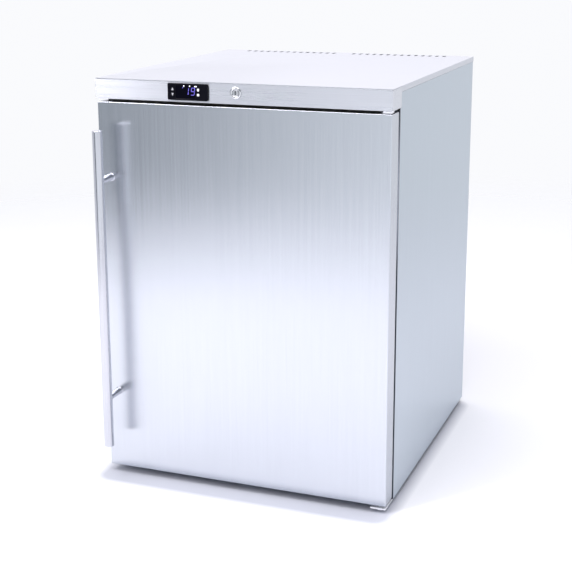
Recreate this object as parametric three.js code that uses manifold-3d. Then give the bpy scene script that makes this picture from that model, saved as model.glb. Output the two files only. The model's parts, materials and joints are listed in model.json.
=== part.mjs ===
// Undercounter refrigerator: one right-hinged solid door with a bar handle on the left,
// a control fascia with a lock, an insulated cabinet and a recessed refrigeration unit at the rear.
// Millimetres, +Z up. The origin is on the floor, under the centre of the bounding box.
// Inside the cabinet group, X runs to the right, Y runs back from the door's front face.
import * as THREE from 'three';
import { mergeVertices } from 'three/addons/utils/BufferGeometryUtils.js';
import Module from 'manifold-3d';

const wasm = await Module();
wasm.setup();

// Driving dimensions: outside of the cabinet.
const cabinetWidth = 600;
const cabinetDepth = 660;
const overallHeight = 822;
const cabinetUnderside = 11;
const rearOverhang = 5;
const sheet = 1.2;
const clearance = 0.3;
const skirtHeight = 11;

// Driving dimensions: fascia, door and handle.
const fasciaHeight = 39.5;
const fasciaReturn = 59;
const fasciaLip = 14;
const doorGap = 6;
const doorBottom = 16;
const doorThickness = 46;
const doorLeft = -297;
const doorRight = 299;
const frameFront = 50;
const handleX = -272;
const handleStandoff = 51;
const handleRadius = 10;
const handleBottom = 80;
const handleTop = 727;
const handlePostHeights = [181, 628];
const handlePostRadius = 6.5;
const hingeX = 285;
const hingeY = 14;
const hingePinRadius = 4;

// Driving dimensions: insulation, inner liner and machine space.
const linerSheet = 2;
const cavityHalfWidth = 252;
const cavityFloor = 61;
const cavityCeiling = 739;
const cavityBack = 550;
const stepFront = 390;
const stepTop = 280;
const foamTop = 810;
const foamBack = 598;
const foamHeadFront = 62;
const machineFront = 437.4;
const machineCeiling = 232.4;

// Driving dimensions: shelves, controls and feet.
const shelfHeights = [300, 455, 610];
const shelfHalfWidth = 246;
const shelfFront = 62;
const shelfBack = 472;
const controlX = -101.3;
const controlWidth = 83;
const controlHeight = 32;
const controlProud = 4;
const keyRadius = 3.7;
const keyColumns = [-132, -78.7];
const keySpacing = 9.4;
const lockX = -4;
const lockZ = 804;
const lockRadius = 11.5;
const camLength = 35.5;
const camY = 24;
const camSlot = { x0: lockX - 8, x1: lockX + 26, y0: 21.5, y1: 28.5, depth: 12 };
const footX = 245;
const footRows = [92, 612];
const foot = { studRadius: 4.5, padRadius: 16, padHeight: 7, studTop: 34, travelRoom: 6 };

// Driving dimensions: refrigeration unit and its openings.
const compressorX = -60;
const compressorY = 545;
const coilY = 627;
const drain = { x: -10, y: 500, radius: 6 };
const dripTray = { x0: -130, x1: 60, y0: 462, y1: 600, z0: 201, z1: 224, wall: 2 };
const inlet = { x: 210, z: 110, halfWidth: 14, halfHeight: 10, flange: 3, bodyDepth: 24, proud: 1.2 };
const inletMouth = { halfWidth: 12, halfHeight: 8, depth: 16 };
const louvre = { left: -250, bottom: 50, length: 84, height: 7, pitchX: 100, pitchZ: 18 };
const louvreRows = 9;
const louvreColumns = 4;
const vent = { width: 7, length: 22, pitch: 16.4, perGroup: 14, start: 24, fromRear: 20 };

// Driving dimensions: evaporator and its fan.
const fanX = 0;
const fanZ = 655;
const fanRadius = 49;
const bladeCount = 5;
const coverFront = 486;
const coverHalf = 205;
const coverBottom = 582;
const coverTop = 728;

// Worked out from the driving dimensions.
const half = cabinetWidth / 2;
const inside = half - sheet;
const deckBottom = overallHeight - sheet;
const fasciaTop = deckBottom - clearance;
const fasciaBottom = overallHeight - fasciaHeight;
const fasciaMiddle = overallHeight - fasciaHeight / 2;
const doorTop = fasciaBottom - doorGap;
const sideRear = cabinetDepth - rearOverhang;
const skirtBottom = overallHeight - skirtHeight;
const frameTop = doorTop + 1.1;
const handleReach = handleStandoff + handleRadius;

const finish = (color, roughness, metalness) =>
  new THREE.MeshStandardMaterial({ color, roughness, metalness });
const materials = {
  brushedSteel: finish(0xc8ccd4, 0.32, 1),
  polishedSteel: finish(0xdadde3, 0.15, 1),
  galvanised: finish(0xa9adb1, 0.45, 1),
  blackPaint: finish(0x1b1c1e, 0.5, 0.2),
  blackPlastic: finish(0x0b0c10, 0.35, 0),
  displayLens: finish(0x05050a, 0.08, 0),
  keyPlastic: finish(0x17181c, 0.4, 0),
  whitePlastic: finish(0xe9eaec, 0.45, 0),
  greyRubber: finish(0x6d7076, 0.8, 0),
  foam: finish(0xe3cf9a, 0.95, 0),
  aluminium: finish(0xc4c7ca, 0.4, 1),
  copper: finish(0xb87346, 0.35, 1),
  shelfWire: finish(0xd4d6da, 0.35, 0.6),
};

// ---- Geometry helpers ----

function box(x0, x1, y0, y1, z0, z1) {
  const geometry = new THREE.BoxGeometry(x1 - x0, y1 - y0, z1 - z0);
  return geometry.translate((x0 + x1) / 2, (y0 + y1) / 2, (z0 + z1) / 2);
}

function cylinderZ(x, y, radius, z0, z1, sides = 20) {
  const geometry = new THREE.CylinderGeometry(radius, radius, z1 - z0, sides);
  return geometry.rotateX(Math.PI / 2).translate(x, y, (z0 + z1) / 2);
}

function cylinderY(x, z, radius, y0, y1, sides = 20) {
  const geometry = new THREE.CylinderGeometry(radius, radius, y1 - y0, sides);
  return geometry.translate(x, (y0 + y1) / 2, z);
}

// A turned solid about an axis along Y; the profile is a list of [radius, y] in either order round.
function turnedY(profile, x, z, sides = 20) {
  const points = profile.map(([radius, y]) => new THREE.Vector2(radius, y));
  if (THREE.ShapeUtils.area(points) < 0) {
    points.reverse();
  }
  return new THREE.LatheGeometry(points, sides).translate(x, 0, z);
}

// The same about a vertical axis; the profile is a list of [radius, z].
function turnedZ(profile, x, y, sides = 20) {
  return turnedY(profile, 0, 0, sides).rotateX(Math.PI / 2).translate(x, y, 0);
}

const outline = (points) => new THREE.Shape(points.map(([a, b]) => new THREE.Vector2(a, b)));

// An outline in X and Y, extruded upwards.
function prismZ(points, z0, z1) {
  const geometry = new THREE.ExtrudeGeometry(outline(points), { depth: z1 - z0, bevelEnabled: false });
  return geometry.translate(0, 0, z0);
}

// An outline in Y and Z, extruded along X.
function prismX(points, x0, x1) {
  const geometry = new THREE.ExtrudeGeometry(outline(points), { depth: x1 - x0, bevelEnabled: false });
  const toX = new THREE.Matrix4().makeBasis(
    new THREE.Vector3(0, 1, 0),
    new THREE.Vector3(0, 0, 1),
    new THREE.Vector3(1, 0, 0),
  );
  return geometry.applyMatrix4(toX).translate(x0, 0, 0);
}

function roundedRectangle(width, height, radius) {
  const a = width / 2;
  const b = height / 2;
  const shape = new THREE.Shape();
  shape.absarc(a - radius, b - radius, radius, 0, Math.PI / 2);
  shape.absarc(-a + radius, b - radius, radius, Math.PI / 2, Math.PI);
  shape.absarc(-a + radius, -b + radius, radius, Math.PI, 1.5 * Math.PI);
  shape.absarc(a - radius, -b + radius, radius, 1.5 * Math.PI, 2 * Math.PI);
  return shape;
}

// A rounded plate that faces the front: its outline lies in X and Z, its thickness in Y.
function frontPlate(width, height, radius, x, z, y0, y1, bevel = 0) {
  const shape = roundedRectangle(width - 2 * bevel, height - 2 * bevel, radius);
  const geometry = new THREE.ExtrudeGeometry(shape, {
    depth: y1 - y0 - 2 * bevel,
    bevelEnabled: bevel > 0,
    bevelSize: bevel,
    bevelThickness: bevel,
    bevelSegments: 2,
    curveSegments: 3,
  });
  return geometry.rotateX(Math.PI / 2).translate(x, y1 - bevel, z);
}

// A path that is sampled at its own corner points, so straight runs stay single steps.
class NodePath extends THREE.Curve {
  constructor(nodes) {
    super();
    this.nodes = nodes;
  }

  getPoint(t, target = new THREE.Vector3()) {
    const last = this.nodes.length - 1;
    const place = Math.min(Math.max(t, 0), 1) * last;
    const index = Math.min(Math.floor(place), last - 1);
    return target.lerpVectors(this.nodes[index], this.nodes[index + 1], place - index);
  }

  getUtoTmapping(u) {
    return u;
  }
}

// A bent tube: straight runs between the points, with each corner rounded.
function bentTube(points, tubeRadius, bendRadius, sides = 8, bendSteps = 3) {
  const corners = points.map((point) => new THREE.Vector3(...point));
  const nodes = [corners[0]];
  for (let i = 1; i < corners.length - 1; i += 1) {
    const toward = (other) => {
      const leg = other.clone().sub(corners[i]);
      return corners[i].clone().addScaledVector(leg.normalize(), bendRadius);
    };
    const bend = new THREE.QuadraticBezierCurve3(toward(corners[i - 1]), corners[i], toward(corners[i + 1]));
    nodes.push(...bend.getPoints(bendSteps));
  }
  nodes.push(corners[corners.length - 1]);
  const section = new THREE.Shape();
  section.absarc(0, 0, tubeRadius, 0, 2 * Math.PI);
  return new THREE.ExtrudeGeometry(section, {
    steps: nodes.length - 1,
    curveSegments: sides / 2,
    extrudePath: new NodePath(nodes),
  });
}

function toSolid(geometry) {
  const bare = geometry.index ? geometry.toNonIndexed() : geometry.clone();
  bare.deleteAttribute('normal');
  bare.deleteAttribute('uv');
  const merged = mergeVertices(bare, 1e-3);
  return new wasm.Manifold(
    new wasm.Mesh({
      numProp: 3,
      vertProperties: merged.attributes.position.array,
      triVerts: new Uint32Array(merged.index.array),
    }),
  );
}

function toGeometry(solid) {
  const mesh = solid.getMesh();
  const geometry = new THREE.BufferGeometry();
  geometry.setAttribute('position', new THREE.BufferAttribute(new Float32Array(mesh.vertProperties), 3));
  geometry.setIndex(new THREE.BufferAttribute(new Uint32Array(mesh.triVerts), 1));
  geometry.computeVertexNormals();
  return geometry;
}

const join = (...shapes) => toGeometry(shapes.map(toSolid).reduce((sum, next) => sum.add(next)));
const cut = (shape, ...tools) =>
  toGeometry(tools.map(toSolid).reduce((rest, tool) => rest.subtract(tool), toSolid(shape)));

function piece(group, name, geometry, material, position = [0, 0, 0]) {
  const mesh = new THREE.Mesh(geometry, material);
  mesh.name = name;
  mesh.position.set(...position);
  group.add(mesh);
  return mesh;
}

// ---- Outer casing ----

function addCasing(group) {
  const ventShape = roundedRectangle(vent.width, vent.length, vent.width / 2 - 0.01);
  const punch = { depth: 4 * sheet, bevelEnabled: false, curveSegments: 2 };
  const ventY = cabinetDepth - vent.fromRear;
  const vents = [];
  for (const side of [-1, 1]) {
    for (let i = 0; i < vent.perGroup; i += 1) {
      const hole = new THREE.ExtrudeGeometry(ventShape, punch);
      vents.push(hole.translate(side * (vent.start + i * vent.pitch), ventY, deckBottom - sheet));
    }
  }
  const skirtFront = fasciaReturn + clearance;
  const deck = cut(
    box(-half, half, 0, cabinetDepth, skirtBottom, overallHeight),
    box(-inside, inside, -1, cabinetDepth - sheet, skirtBottom - 1, deckBottom),
    box(-half - 1, half + 1, -1, skirtFront, skirtBottom - 1, deckBottom),
    ...vents,
  );
  piece(group, 'top_cover', deck, materials.brushedSteel);

  const frontFlange = 24;
  const rearFlange = 14;
  const sideTop = skirtBottom - clearance;
  const fasciaNotch = box(
    -half - 1,
    half + 1,
    frameFront - 1,
    fasciaReturn + clearance,
    fasciaBottom - clearance,
    overallHeight,
  );
  for (const [name, side] of [['side_panel_left', -1], ['side_panel_right', 1]]) {
    const profile = [
      [side * half, frameFront],
      [side * half, sideRear],
      [side * (half - rearFlange), sideRear],
      [side * (half - rearFlange), sideRear - sheet],
      [side * inside, sideRear - sheet],
      [side * inside, frameFront + sheet],
      [side * (half - frontFlange), frameFront + sheet],
      [side * (half - frontFlange), frameFront],
    ];
    const panel = cut(
      prismZ(profile, cabinetUnderside, sideTop),
      fasciaNotch,
      box(-inside, inside, frameFront - 1, frameFront + 2, frameTop + clearance, overallHeight),
    );
    piece(group, name, panel, materials.brushedSteel);
  }

  const ringHalf = half - frontFlange - clearance;
  const openingHalf = cavityHalfWidth + 10;
  const openingBottom = cavityFloor - 10;
  const openingTop = cavityCeiling + 10;
  const ring = cut(
    box(-ringHalf, ringHalf, frameFront, frameFront + sheet, cabinetUnderside + 2, frameTop),
    box(-openingHalf, openingHalf, frameFront - 1, frameFront + 2, openingBottom, openingTop),
  );
  piece(group, 'front_frame', ring, materials.brushedSteel);

  const panelHalf = inside - 0.5;
  const backSheet = 1;
  const backFace = foamBack + 0.4;
  const wallFace = machineFront + 0.4;
  const ceilingFace = machineCeiling - 0.4;
  const backProfile = [
    [backFace, foamTop],
    [backFace + backSheet, foamTop],
    [backFace + backSheet, ceilingFace - backSheet],
    [wallFace + backSheet, ceilingFace - backSheet],
    [wallFace + backSheet, cabinetUnderside + 2],
    [wallFace, cabinetUnderside + 2],
    [wallFace, ceilingFace],
    [backFace, ceilingFace],
  ];
  const drainHole = cylinderZ(drain.x, drain.y, drain.radius + 1, machineCeiling - 4, machineCeiling + 4);
  const back = cut(prismX(backProfile, -panelHalf, panelHalf), drainHole);
  piece(group, 'back_panel', back, materials.galvanised);

  const footHole = (x, y) => cylinderZ(x, y, foot.studRadius + 1, 0, 40, 16);
  const panTop = cabinetUnderside + sheet;
  const basePan = cut(
    box(-panelHalf, panelHalf, frameFront + 1.8, machineFront - 0.2, cabinetUnderside, panTop),
    footHole(-footX, footRows[0]),
    footHole(footX, footRows[0]),
  );
  piece(group, 'base_pan', basePan, materials.galvanised);

  const trayFront = wallFace + 2;
  const trayRear = sideRear - 3;
  const trayLip = 18;
  const trayTop = cabinetUnderside + trayLip;
  const trayInside = panelHalf - sheet;
  const tray = cut(
    box(-panelHalf, panelHalf, trayFront, trayRear, cabinetUnderside, trayTop),
    box(-trayInside, trayInside, trayFront - 1, trayRear + 1, cabinetUnderside + sheet, trayTop + 1),
    footHole(-footX, footRows[1]),
    footHole(footX, footRows[1]),
  );
  piece(group, 'compressor_tray', tray, materials.galvanised);

  const grilleRear = sideRear - 1.5;
  const grilleHalf = panelHalf - 2;
  const louvres = [];
  for (let row = 0; row < louvreRows; row += 1) {
    for (let column = 0; column < louvreColumns; column += 1) {
      const x0 = louvre.left + column * louvre.pitchX;
      const z0 = louvre.bottom + row * louvre.pitchZ;
      louvres.push(box(x0, x0 + louvre.length, sideRear - 6, sideRear + 6, z0, z0 + louvre.height));
    }
  }
  const inletHole = box(
    inlet.x - inlet.halfWidth - 1,
    inlet.x + inlet.halfWidth + 1,
    sideRear - 6,
    sideRear + 6,
    inlet.z - inlet.halfHeight - 1,
    inlet.z + inlet.halfHeight + 1,
  );
  const grille = cut(
    box(-grilleHalf, grilleHalf, grilleRear - sheet, grilleRear, cabinetUnderside + 3, machineCeiling - 4),
    ...louvres,
    inletHole,
  );
  piece(group, 'rear_grille', grille, materials.galvanised);
}

// ---- Insulation and inner liner ----

// The cavity's side view: floor, step over the machine space, back and ceiling.
function cavityProfile(front, grow) {
  return [
    [front, cavityFloor - grow],
    [stepFront + grow, cavityFloor - grow],
    [stepFront + grow, stepTop - grow],
    [cavityBack + grow, stepTop - grow],
    [cavityBack + grow, cavityCeiling + grow],
    [front, cavityCeiling + grow],
  ];
}

function addInsulation(group) {
  const front = frameFront + 1.8;
  const bottom = cabinetUnderside + sheet + 0.6;
  const headStep = frameTop - 1;
  const body = [
    [front, bottom],
    [machineFront, bottom],
    [machineFront, machineCeiling],
    [foamBack, machineCeiling],
    [foamBack, foamTop],
    [foamHeadFront, foamTop],
    [foamHeadFront, headStep],
    [front, headStep],
  ];
  const linerOutside = cavityHalfWidth + linerSheet;
  const room = linerSheet + clearance;
  const foam = cut(
    prismX(body, -inside + 0.3, inside - 0.3),
    prismX(cavityProfile(0, room), -linerOutside - clearance, linerOutside + clearance),
    cylinderZ(drain.x, drain.y, drain.radius + 1, machineCeiling - 5, stepTop),
    cylinderZ(-footX, footRows[0], foot.studRadius + 2, 0, foot.studTop + foot.travelRoom, 12),
    cylinderZ(footX, footRows[0], foot.studRadius + 2, 0, foot.studTop + foot.travelRoom, 12),
  );
  piece(group, 'body_foam', foam, materials.foam);

  const lip = 9.6;
  const flange = cut(
    box(
      -linerOutside - lip + linerSheet,
      linerOutside + lip - linerSheet,
      frameFront,
      frameFront + 1.5,
      cavityFloor - lip,
      cavityCeiling + lip,
    ),
    prismX(cavityProfile(0, 0), -cavityHalfWidth, cavityHalfWidth),
  );
  const shell = cut(
    prismX(cavityProfile(frameFront, linerSheet), -linerOutside, linerOutside),
    prismX(cavityProfile(0, 0), -cavityHalfWidth, cavityHalfWidth),
    cylinderZ(drain.x, drain.y, drain.radius - 2, stepTop - 10, stepTop + 10, 12),
  );
  piece(group, 'inner_liner', join(flange, shell), materials.whitePlastic);
}

// ---- Fascia, controller and lock ----

function addFascia(group) {
  const cutOutHeight = controlHeight - 3;
  const fascia = cut(
    box(-half, half, 0, fasciaReturn, fasciaBottom, fasciaTop),
    box(-inside, inside, sheet, fasciaReturn + 1, fasciaBottom + sheet, fasciaTop - sheet),
    box(-inside, inside, fasciaLip, fasciaReturn + 1, fasciaBottom - 1, fasciaTop + 1),
    frontPlate(controlWidth - 5, cutOutHeight, 0.5, controlX, fasciaMiddle, -5, 5),
    cylinderY(lockX, lockZ, 9.3, -5, 5, 24),
  );
  piece(group, 'control_fascia', fascia, materials.brushedSteel);

  const bezelFace = -clearance - controlProud;
  const keyZ = [fasciaMiddle + keySpacing / 2, fasciaMiddle - keySpacing / 2];
  const holes = keyColumns.flatMap((x) =>
    keyZ.map((z) => cylinderY(x, z, keyRadius + clearance, bezelFace - 1, 1, 12)),
  );
  const lens = { width: 41, height: 25, thickness: 1.6, x: -105.4 };
  const lensFront = bezelFace + 0.1;
  const lensBack = lensFront + lens.thickness;
  const bezel = cut(
    frontPlate(controlWidth, controlHeight, 2, controlX, fasciaMiddle, bezelFace, -clearance, 0.8),
    frontPlate(lens.width + 0.6, lens.height + 0.6, 0.8, lens.x, fasciaMiddle, bezelFace - 1, bezelFace + 2),
    ...holes,
  );
  piece(group, 'controller_bezel', bezel, materials.blackPlastic);
  const lensPlate = frontPlate(lens.width, lens.height, 0.6, lens.x, fasciaMiddle, lensFront, lensBack);
  piece(group, 'display_lens', lensPlate, materials.displayLens);
  const casing = frontPlate(controlWidth - 8, cutOutHeight - 2, 1, controlX, fasciaMiddle, 0, 44);
  piece(group, 'controller_body', casing, materials.blackPlastic);

  const keyThickness = 3;
  const keyNames = [['key_up', 'key_down'], ['key_set', 'key_power']];
  keyColumns.forEach((x, column) => {
    keyZ.forEach((z, row) => {
      const cap = cylinderY(0, 0, keyRadius, 0, keyThickness, 12);
      piece(group, keyNames[column][row], cap, materials.keyPlastic, [x, bezelFace - 0.3, z]);
    });
  });

  const housing = turnedY(
    [
      [6.6, 21],
      [6.6, -2.4],
      [lockRadius - 1, -2.4],
      [lockRadius, -1.6],
      [lockRadius, -clearance],
      [9, -clearance],
      [9, 21],
      [6.6, 21],
    ],
    lockX,
    lockZ,
  );
  piece(group, 'lock_housing', housing, materials.polishedSteel);
  const barrel = cut(
    cylinderY(lockX, lockZ, 6.2, -1.8, 23.6, 24),
    box(lockX - 0.9, lockX + 0.9, -3, 9, lockZ - 4, lockZ + 4),
  );
  piece(group, 'lock_barrel', barrel, materials.polishedSteel);
  const camThickness = 2;
  const cam = frontPlate(camLength + 7, 10, 4.9, (camLength - 7) / 2, 0, 0, camThickness);
  piece(group, 'lock_cam', cam, materials.galvanised, [lockX, camY, lockZ]);
}

// ---- Door ----

function addDoor(group) {
  const skinRear = doorThickness - 2;
  const bushRadius = 7;
  const bushDepth = 16;
  const cavity = box(
    doorLeft + sheet,
    doorRight - sheet,
    sheet,
    skinRear + 1,
    doorBottom + sheet,
    doorTop - sheet,
  );
  const bushHoleRadius = bushRadius + clearance;
  const bushHole = cylinderZ(hingeX, hingeY, bushHoleRadius, doorBottom - 1, doorTop + 1);
  const slotTool = (grow) =>
    box(
      camSlot.x0 - grow,
      camSlot.x1 + grow,
      camSlot.y0 - grow,
      camSlot.y1 + grow,
      doorTop - camSlot.depth - grow,
      doorTop + 1,
    );
  const skin = cut(
    box(doorLeft, doorRight, 0, skinRear, doorBottom, doorTop),
    cavity,
    bushHole,
    slotTool(0),
  );
  piece(group, 'door_skin', skin, materials.brushedSteel);

  const pocketDepth = bushDepth + 6;
  const foam = cut(
    box(
      doorLeft + sheet + clearance,
      doorRight - sheet - clearance,
      sheet + clearance,
      skinRear,
      doorBottom + sheet + clearance,
      doorTop - sheet - clearance,
    ),
    cylinderZ(hingeX, hingeY, bushHoleRadius, doorBottom, doorBottom + pocketDepth),
    cylinderZ(hingeX, hingeY, bushHoleRadius, doorTop - pocketDepth, doorTop),
    slotTool(1),
  );
  piece(group, 'door_foam', foam, materials.foam);

  const panHalf = 228;
  const panBottom = 84;
  const panTop = 716;
  const panDepth = 11;
  const panel = cut(
    join(
      box(doorLeft + 1, doorRight - 1, skinRear + clearance, doorThickness, doorBottom + 1, doorTop - 1),
      box(-panHalf, panHalf, doorThickness - 1, doorThickness + panDepth, panBottom, panTop),
    ),
    box(
      -panHalf + linerSheet,
      panHalf - linerSheet,
      skinRear - 1,
      doorThickness + panDepth - linerSheet,
      panBottom + linerSheet,
      panTop - linerSheet,
    ),
  );
  piece(group, 'door_liner', panel, materials.whitePlastic);

  const seal = { halfWidth: 286, bottom: 30, top: 770, width: 18 };
  const sealBlock = (inset, y0, y1) =>
    box(-seal.halfWidth + inset, seal.halfWidth - inset, y0, y1, seal.bottom + inset, seal.top - inset);
  const gasket = cut(
    sealBlock(0, doorThickness + clearance, frameFront - clearance),
    sealBlock(seal.width, doorThickness - 1, frameFront + 1),
  );
  piece(group, 'door_gasket', gasket, materials.greyRubber);

  const chamfer = 1;
  const bar = turnedZ(
    [
      [0, handleBottom],
      [handleRadius - chamfer, handleBottom],
      [handleRadius, handleBottom + chamfer],
      [handleRadius, handleTop - chamfer],
      [handleRadius - chamfer, handleTop],
      [0, handleTop],
    ],
    handleX,
    -handleStandoff,
    28,
  );
  piece(group, 'handle_bar', bar, materials.polishedSteel);
  const postNames = ['handle_post_lower', 'handle_post_upper'];
  handlePostHeights.forEach((z, i) => {
    const post = cut(
      cylinderY(handleX, z, handlePostRadius, -handleStandoff, -clearance),
      cylinderZ(handleX, -handleStandoff, handleRadius + clearance, z - 20, z + 20, 28),
    );
    piece(group, postNames[i], post, materials.polishedSteel);
  });

  const boreRadius = hingePinRadius + clearance;
  const flangeRadius = 9;
  const flangeThickness = 0.9;
  const bushProfile = (face, way) => [
    [boreRadius, face + way * (clearance + flangeThickness)],
    [flangeRadius, face + way * (clearance + flangeThickness)],
    [flangeRadius, face + way * clearance],
    [bushRadius, face + way * clearance],
    [bushRadius, face - way * bushDepth],
    [boreRadius, face - way * bushDepth],
    [boreRadius, face + way * (clearance + flangeThickness)],
  ];
  const upperBush = turnedZ(bushProfile(doorTop, 1), hingeX, hingeY, 16);
  const lowerBush = turnedZ(bushProfile(doorBottom, -1), hingeX, hingeY, 16);
  piece(group, 'door_bush_top', upperBush, materials.whitePlastic);
  piece(group, 'door_bush_bottom', lowerBush, materials.whitePlastic);
}

// ---- Hinges ----

function addHinges(group) {
  const plateThickness = 3;
  const leafThickness = 3.8;
  const plateLeft = 268;
  const plateRight = inside - 0.5;
  const plateFront = 2;
  const leafLeft = 279;
  const leafBack = 24;
  const leafRounding = 6;
  const pinLength = 14;
  const upperFace = doorTop + 1.9;
  const plateBack = foamHeadFront - 0.5;
  const legHeight = 32;
  const rounding = [0, 15, 30, 45, 60, 75, 90].map((degrees) => {
    const angle = THREE.MathUtils.degToRad(degrees);
    return [
      leafLeft + leafRounding * (1 - Math.sin(angle)),
      plateFront + leafRounding * (1 - Math.cos(angle)),
    ];
  });
  const besideLeaf = prismZ(
    [
      [plateLeft - 1, plateFront - 1],
      [leafLeft + leafRounding, plateFront - 1],
      ...rounding,
      [leafLeft, leafBack],
      [plateLeft - 1, leafBack],
    ],
    upperFace - 1,
    upperFace + legHeight + 1,
  );
  const upper = cut(
    box(plateLeft, plateRight, plateFront, plateBack, upperFace, upperFace + legHeight),
    box(
      plateLeft - 1,
      plateRight + 1,
      plateFront - 1,
      plateBack - plateThickness,
      upperFace + leafThickness,
      upperFace + legHeight + 1,
    ),
    besideLeaf,
  );
  piece(group, 'hinge_bracket_top', upper, materials.polishedSteel);
  const upperPin = cylinderZ(hingeX, hingeY, hingePinRadius, doorTop - pinLength, upperFace - clearance, 16);
  piece(group, 'hinge_pin_top', upperPin, materials.galvanised);

  const lowerTop = cabinetUnderside - clearance;
  const lowerBack = 105;
  const lower = box(plateLeft, plateRight, plateFront, lowerBack, lowerTop - plateThickness, lowerTop);
  piece(group, 'hinge_bracket_bottom', lower, materials.polishedSteel);
  const shoulderTop = doorBottom - 1.6;
  const lowerPin = turnedZ(
    [
      [0, lowerTop + clearance],
      [6.5, lowerTop + clearance],
      [6.5, shoulderTop],
      [hingePinRadius, shoulderTop],
      [hingePinRadius, doorBottom + pinLength],
      [0, doorBottom + pinLength],
    ],
    hingeX,
    hingeY,
    16,
  );
  piece(group, 'hinge_pin_bottom', lowerPin, materials.galvanised);
}

// ---- Interior: shelves, strips, evaporator and fan ----

function wireShelf(height) {
  const rim = 5;
  const wire = 3;
  const bars = [
    box(-shelfHalfWidth, shelfHalfWidth, shelfFront, shelfFront + rim, 0, rim),
    box(-shelfHalfWidth, shelfHalfWidth, shelfBack - rim, shelfBack, 0, rim),
    box(-shelfHalfWidth, -shelfHalfWidth + rim, shelfFront, shelfBack, 0, rim),
    box(shelfHalfWidth - rim, shelfHalfWidth, shelfFront, shelfBack, 0, rim),
  ];
  const wireCount = 11;
  const pitch = (2 * shelfHalfWidth) / (wireCount + 1);
  for (let i = 1; i <= wireCount; i += 1) {
    const x = -shelfHalfWidth + i * pitch;
    bars.push(box(x - wire / 2, x + wire / 2, shelfFront + 1, shelfBack - 1, rim - wire - 0.5, rim - 0.5));
  }
  const middle = (shelfFront + shelfBack) / 2;
  bars.push(box(-shelfHalfWidth + 1, shelfHalfWidth - 1, middle - rim / 2, middle + rim / 2, 0, rim - 2));
  return join(...bars).translate(0, 0, height);
}

function addInterior(group) {
  const shelfNames = ['shelf_lower', 'shelf_middle', 'shelf_upper'];
  shelfHeights.forEach((height, i) => {
    piece(group, shelfNames[i], wireShelf(height), materials.shelfWire);
  });

  const stripThickness = 2;
  const stripWidth = 16;
  const clipReach = 9;
  const clipHeight = 5;
  const stripBottom = stepTop + 8;
  const stripTop = 720;
  for (const [sideName, side] of [['left', -1], ['right', 1]]) {
    for (const [rowName, y] of [['front', 110], ['rear', 430]]) {
      const wallX = side * (cavityHalfWidth - clearance);
      const faceX = wallX - side * stripThickness;
      const tipX = faceX - side * clipReach;
      const fromWall = (x, halfWidth, z0, z1) =>
        box(Math.min(x, wallX), Math.max(x, wallX), y - halfWidth, y + halfWidth, z0, z1);
      const strip = fromWall(faceX, stripWidth / 2, stripBottom, stripTop);
      const clips = shelfHeights.map((height) =>
        fromWall(tipX, stripWidth / 2 - 2, height - clearance - clipHeight, height - clearance),
      );
      piece(group, `shelf_strip_${rowName}_${sideName}`, join(strip, ...clips), materials.polishedSteel);
    }
  }

  const coverBack = cavityBack - clearance;
  const wall = 2;
  const airSlots = [];
  for (const side of [-1, 1]) {
    for (let i = 0; i < 6; i += 1) {
      const z0 = coverBottom + 22 + i * 19;
      const x0 = side * 135 - 48;
      airSlots.push(box(x0, x0 + 96, coverFront - 1, coverFront + 5, z0, z0 + 8));
    }
  }
  const coverShape = (inset, back) =>
    box(
      -coverHalf + inset,
      coverHalf - inset,
      coverFront + inset,
      back,
      coverBottom + inset,
      coverTop - inset,
    );
  const cover = cut(
    coverShape(0, coverBack),
    coverShape(wall, coverBack + 1),
    cylinderY(fanX, fanZ, fanRadius + 5, coverFront - 1, coverFront + 5, 32),
    ...airSlots,
  );
  piece(group, 'evaporator_cover', cover, materials.whitePlastic);

  const coilY0 = 531;
  const coilY1 = 548;
  const finBottom = coverBottom + 14;
  const finTop = coverTop - 14;
  const coilParts = [];
  for (let i = 0; i < 9; i += 1) {
    const x = -180 + i * 45;
    coilParts.push(box(x - 0.6, x + 0.6, coilY0, coilY1, finBottom, finTop));
  }
  for (const z of [finBottom + 30, finTop - 30]) {
    coilParts.push(box(-190, 190, coilY0 + 5, coilY0 + 12, z - 3.5, z + 3.5));
  }
  piece(group, 'evaporator_coil', join(...coilParts), materials.aluminium);

  piece(group, 'fan_motor', cylinderY(fanX, fanZ, 19, 507, 529, 20), materials.blackPlastic);
  const hubY0 = 493;
  const hubY1 = 505.5;
  const blades = [];
  for (let i = 0; i < bladeCount; i += 1) {
    const blade = box(10, fanRadius, -1, 1, -13, 13);
    blade.rotateX(0.5).rotateY((i * 2 * Math.PI) / bladeCount).translate(0, (hubY0 + hubY1) / 2, 0);
    blades.push(blade);
  }
  const rotor = join(cylinderY(0, 0, 17, hubY0, hubY1, 20), ...blades);
  piece(group, 'fan_rotor', rotor, materials.blackPlastic, [fanX, 0, fanZ]);

  const guardY0 = coverFront - 5.5;
  const guardY1 = coverFront - clearance;
  const ring = (radius, width) =>
    cut(
      cylinderY(fanX, fanZ, radius, guardY0, guardY1, 16),
      cylinderY(fanX, fanZ, radius - width, guardY0 - 1, guardY1 + 1, 16),
    );
  const guard = join(
    ring(58, 5),
    ring(40, 2.5),
    ring(22, 2.5),
    box(fanX - 56, fanX + 56, guardY0 + 1, guardY1 - 1, fanZ - 1.5, fanZ + 1.5),
    box(fanX - 1.5, fanX + 1.5, guardY0 + 1, guardY1 - 1, fanZ - 56, fanZ + 56),
  );
  piece(group, 'fan_guard', guard, materials.blackPlastic);

  const probe = turnedZ(
    [
      [0, 520],
      [2.2, 520.8],
      [3, 523],
      [3, 562],
      [0, 562],
    ],
    cavityHalfWidth - 4,
    270,
    12,
  );
  piece(group, 'temperature_probe', probe, materials.greyRubber);
}

// ---- Refrigeration unit ----

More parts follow.
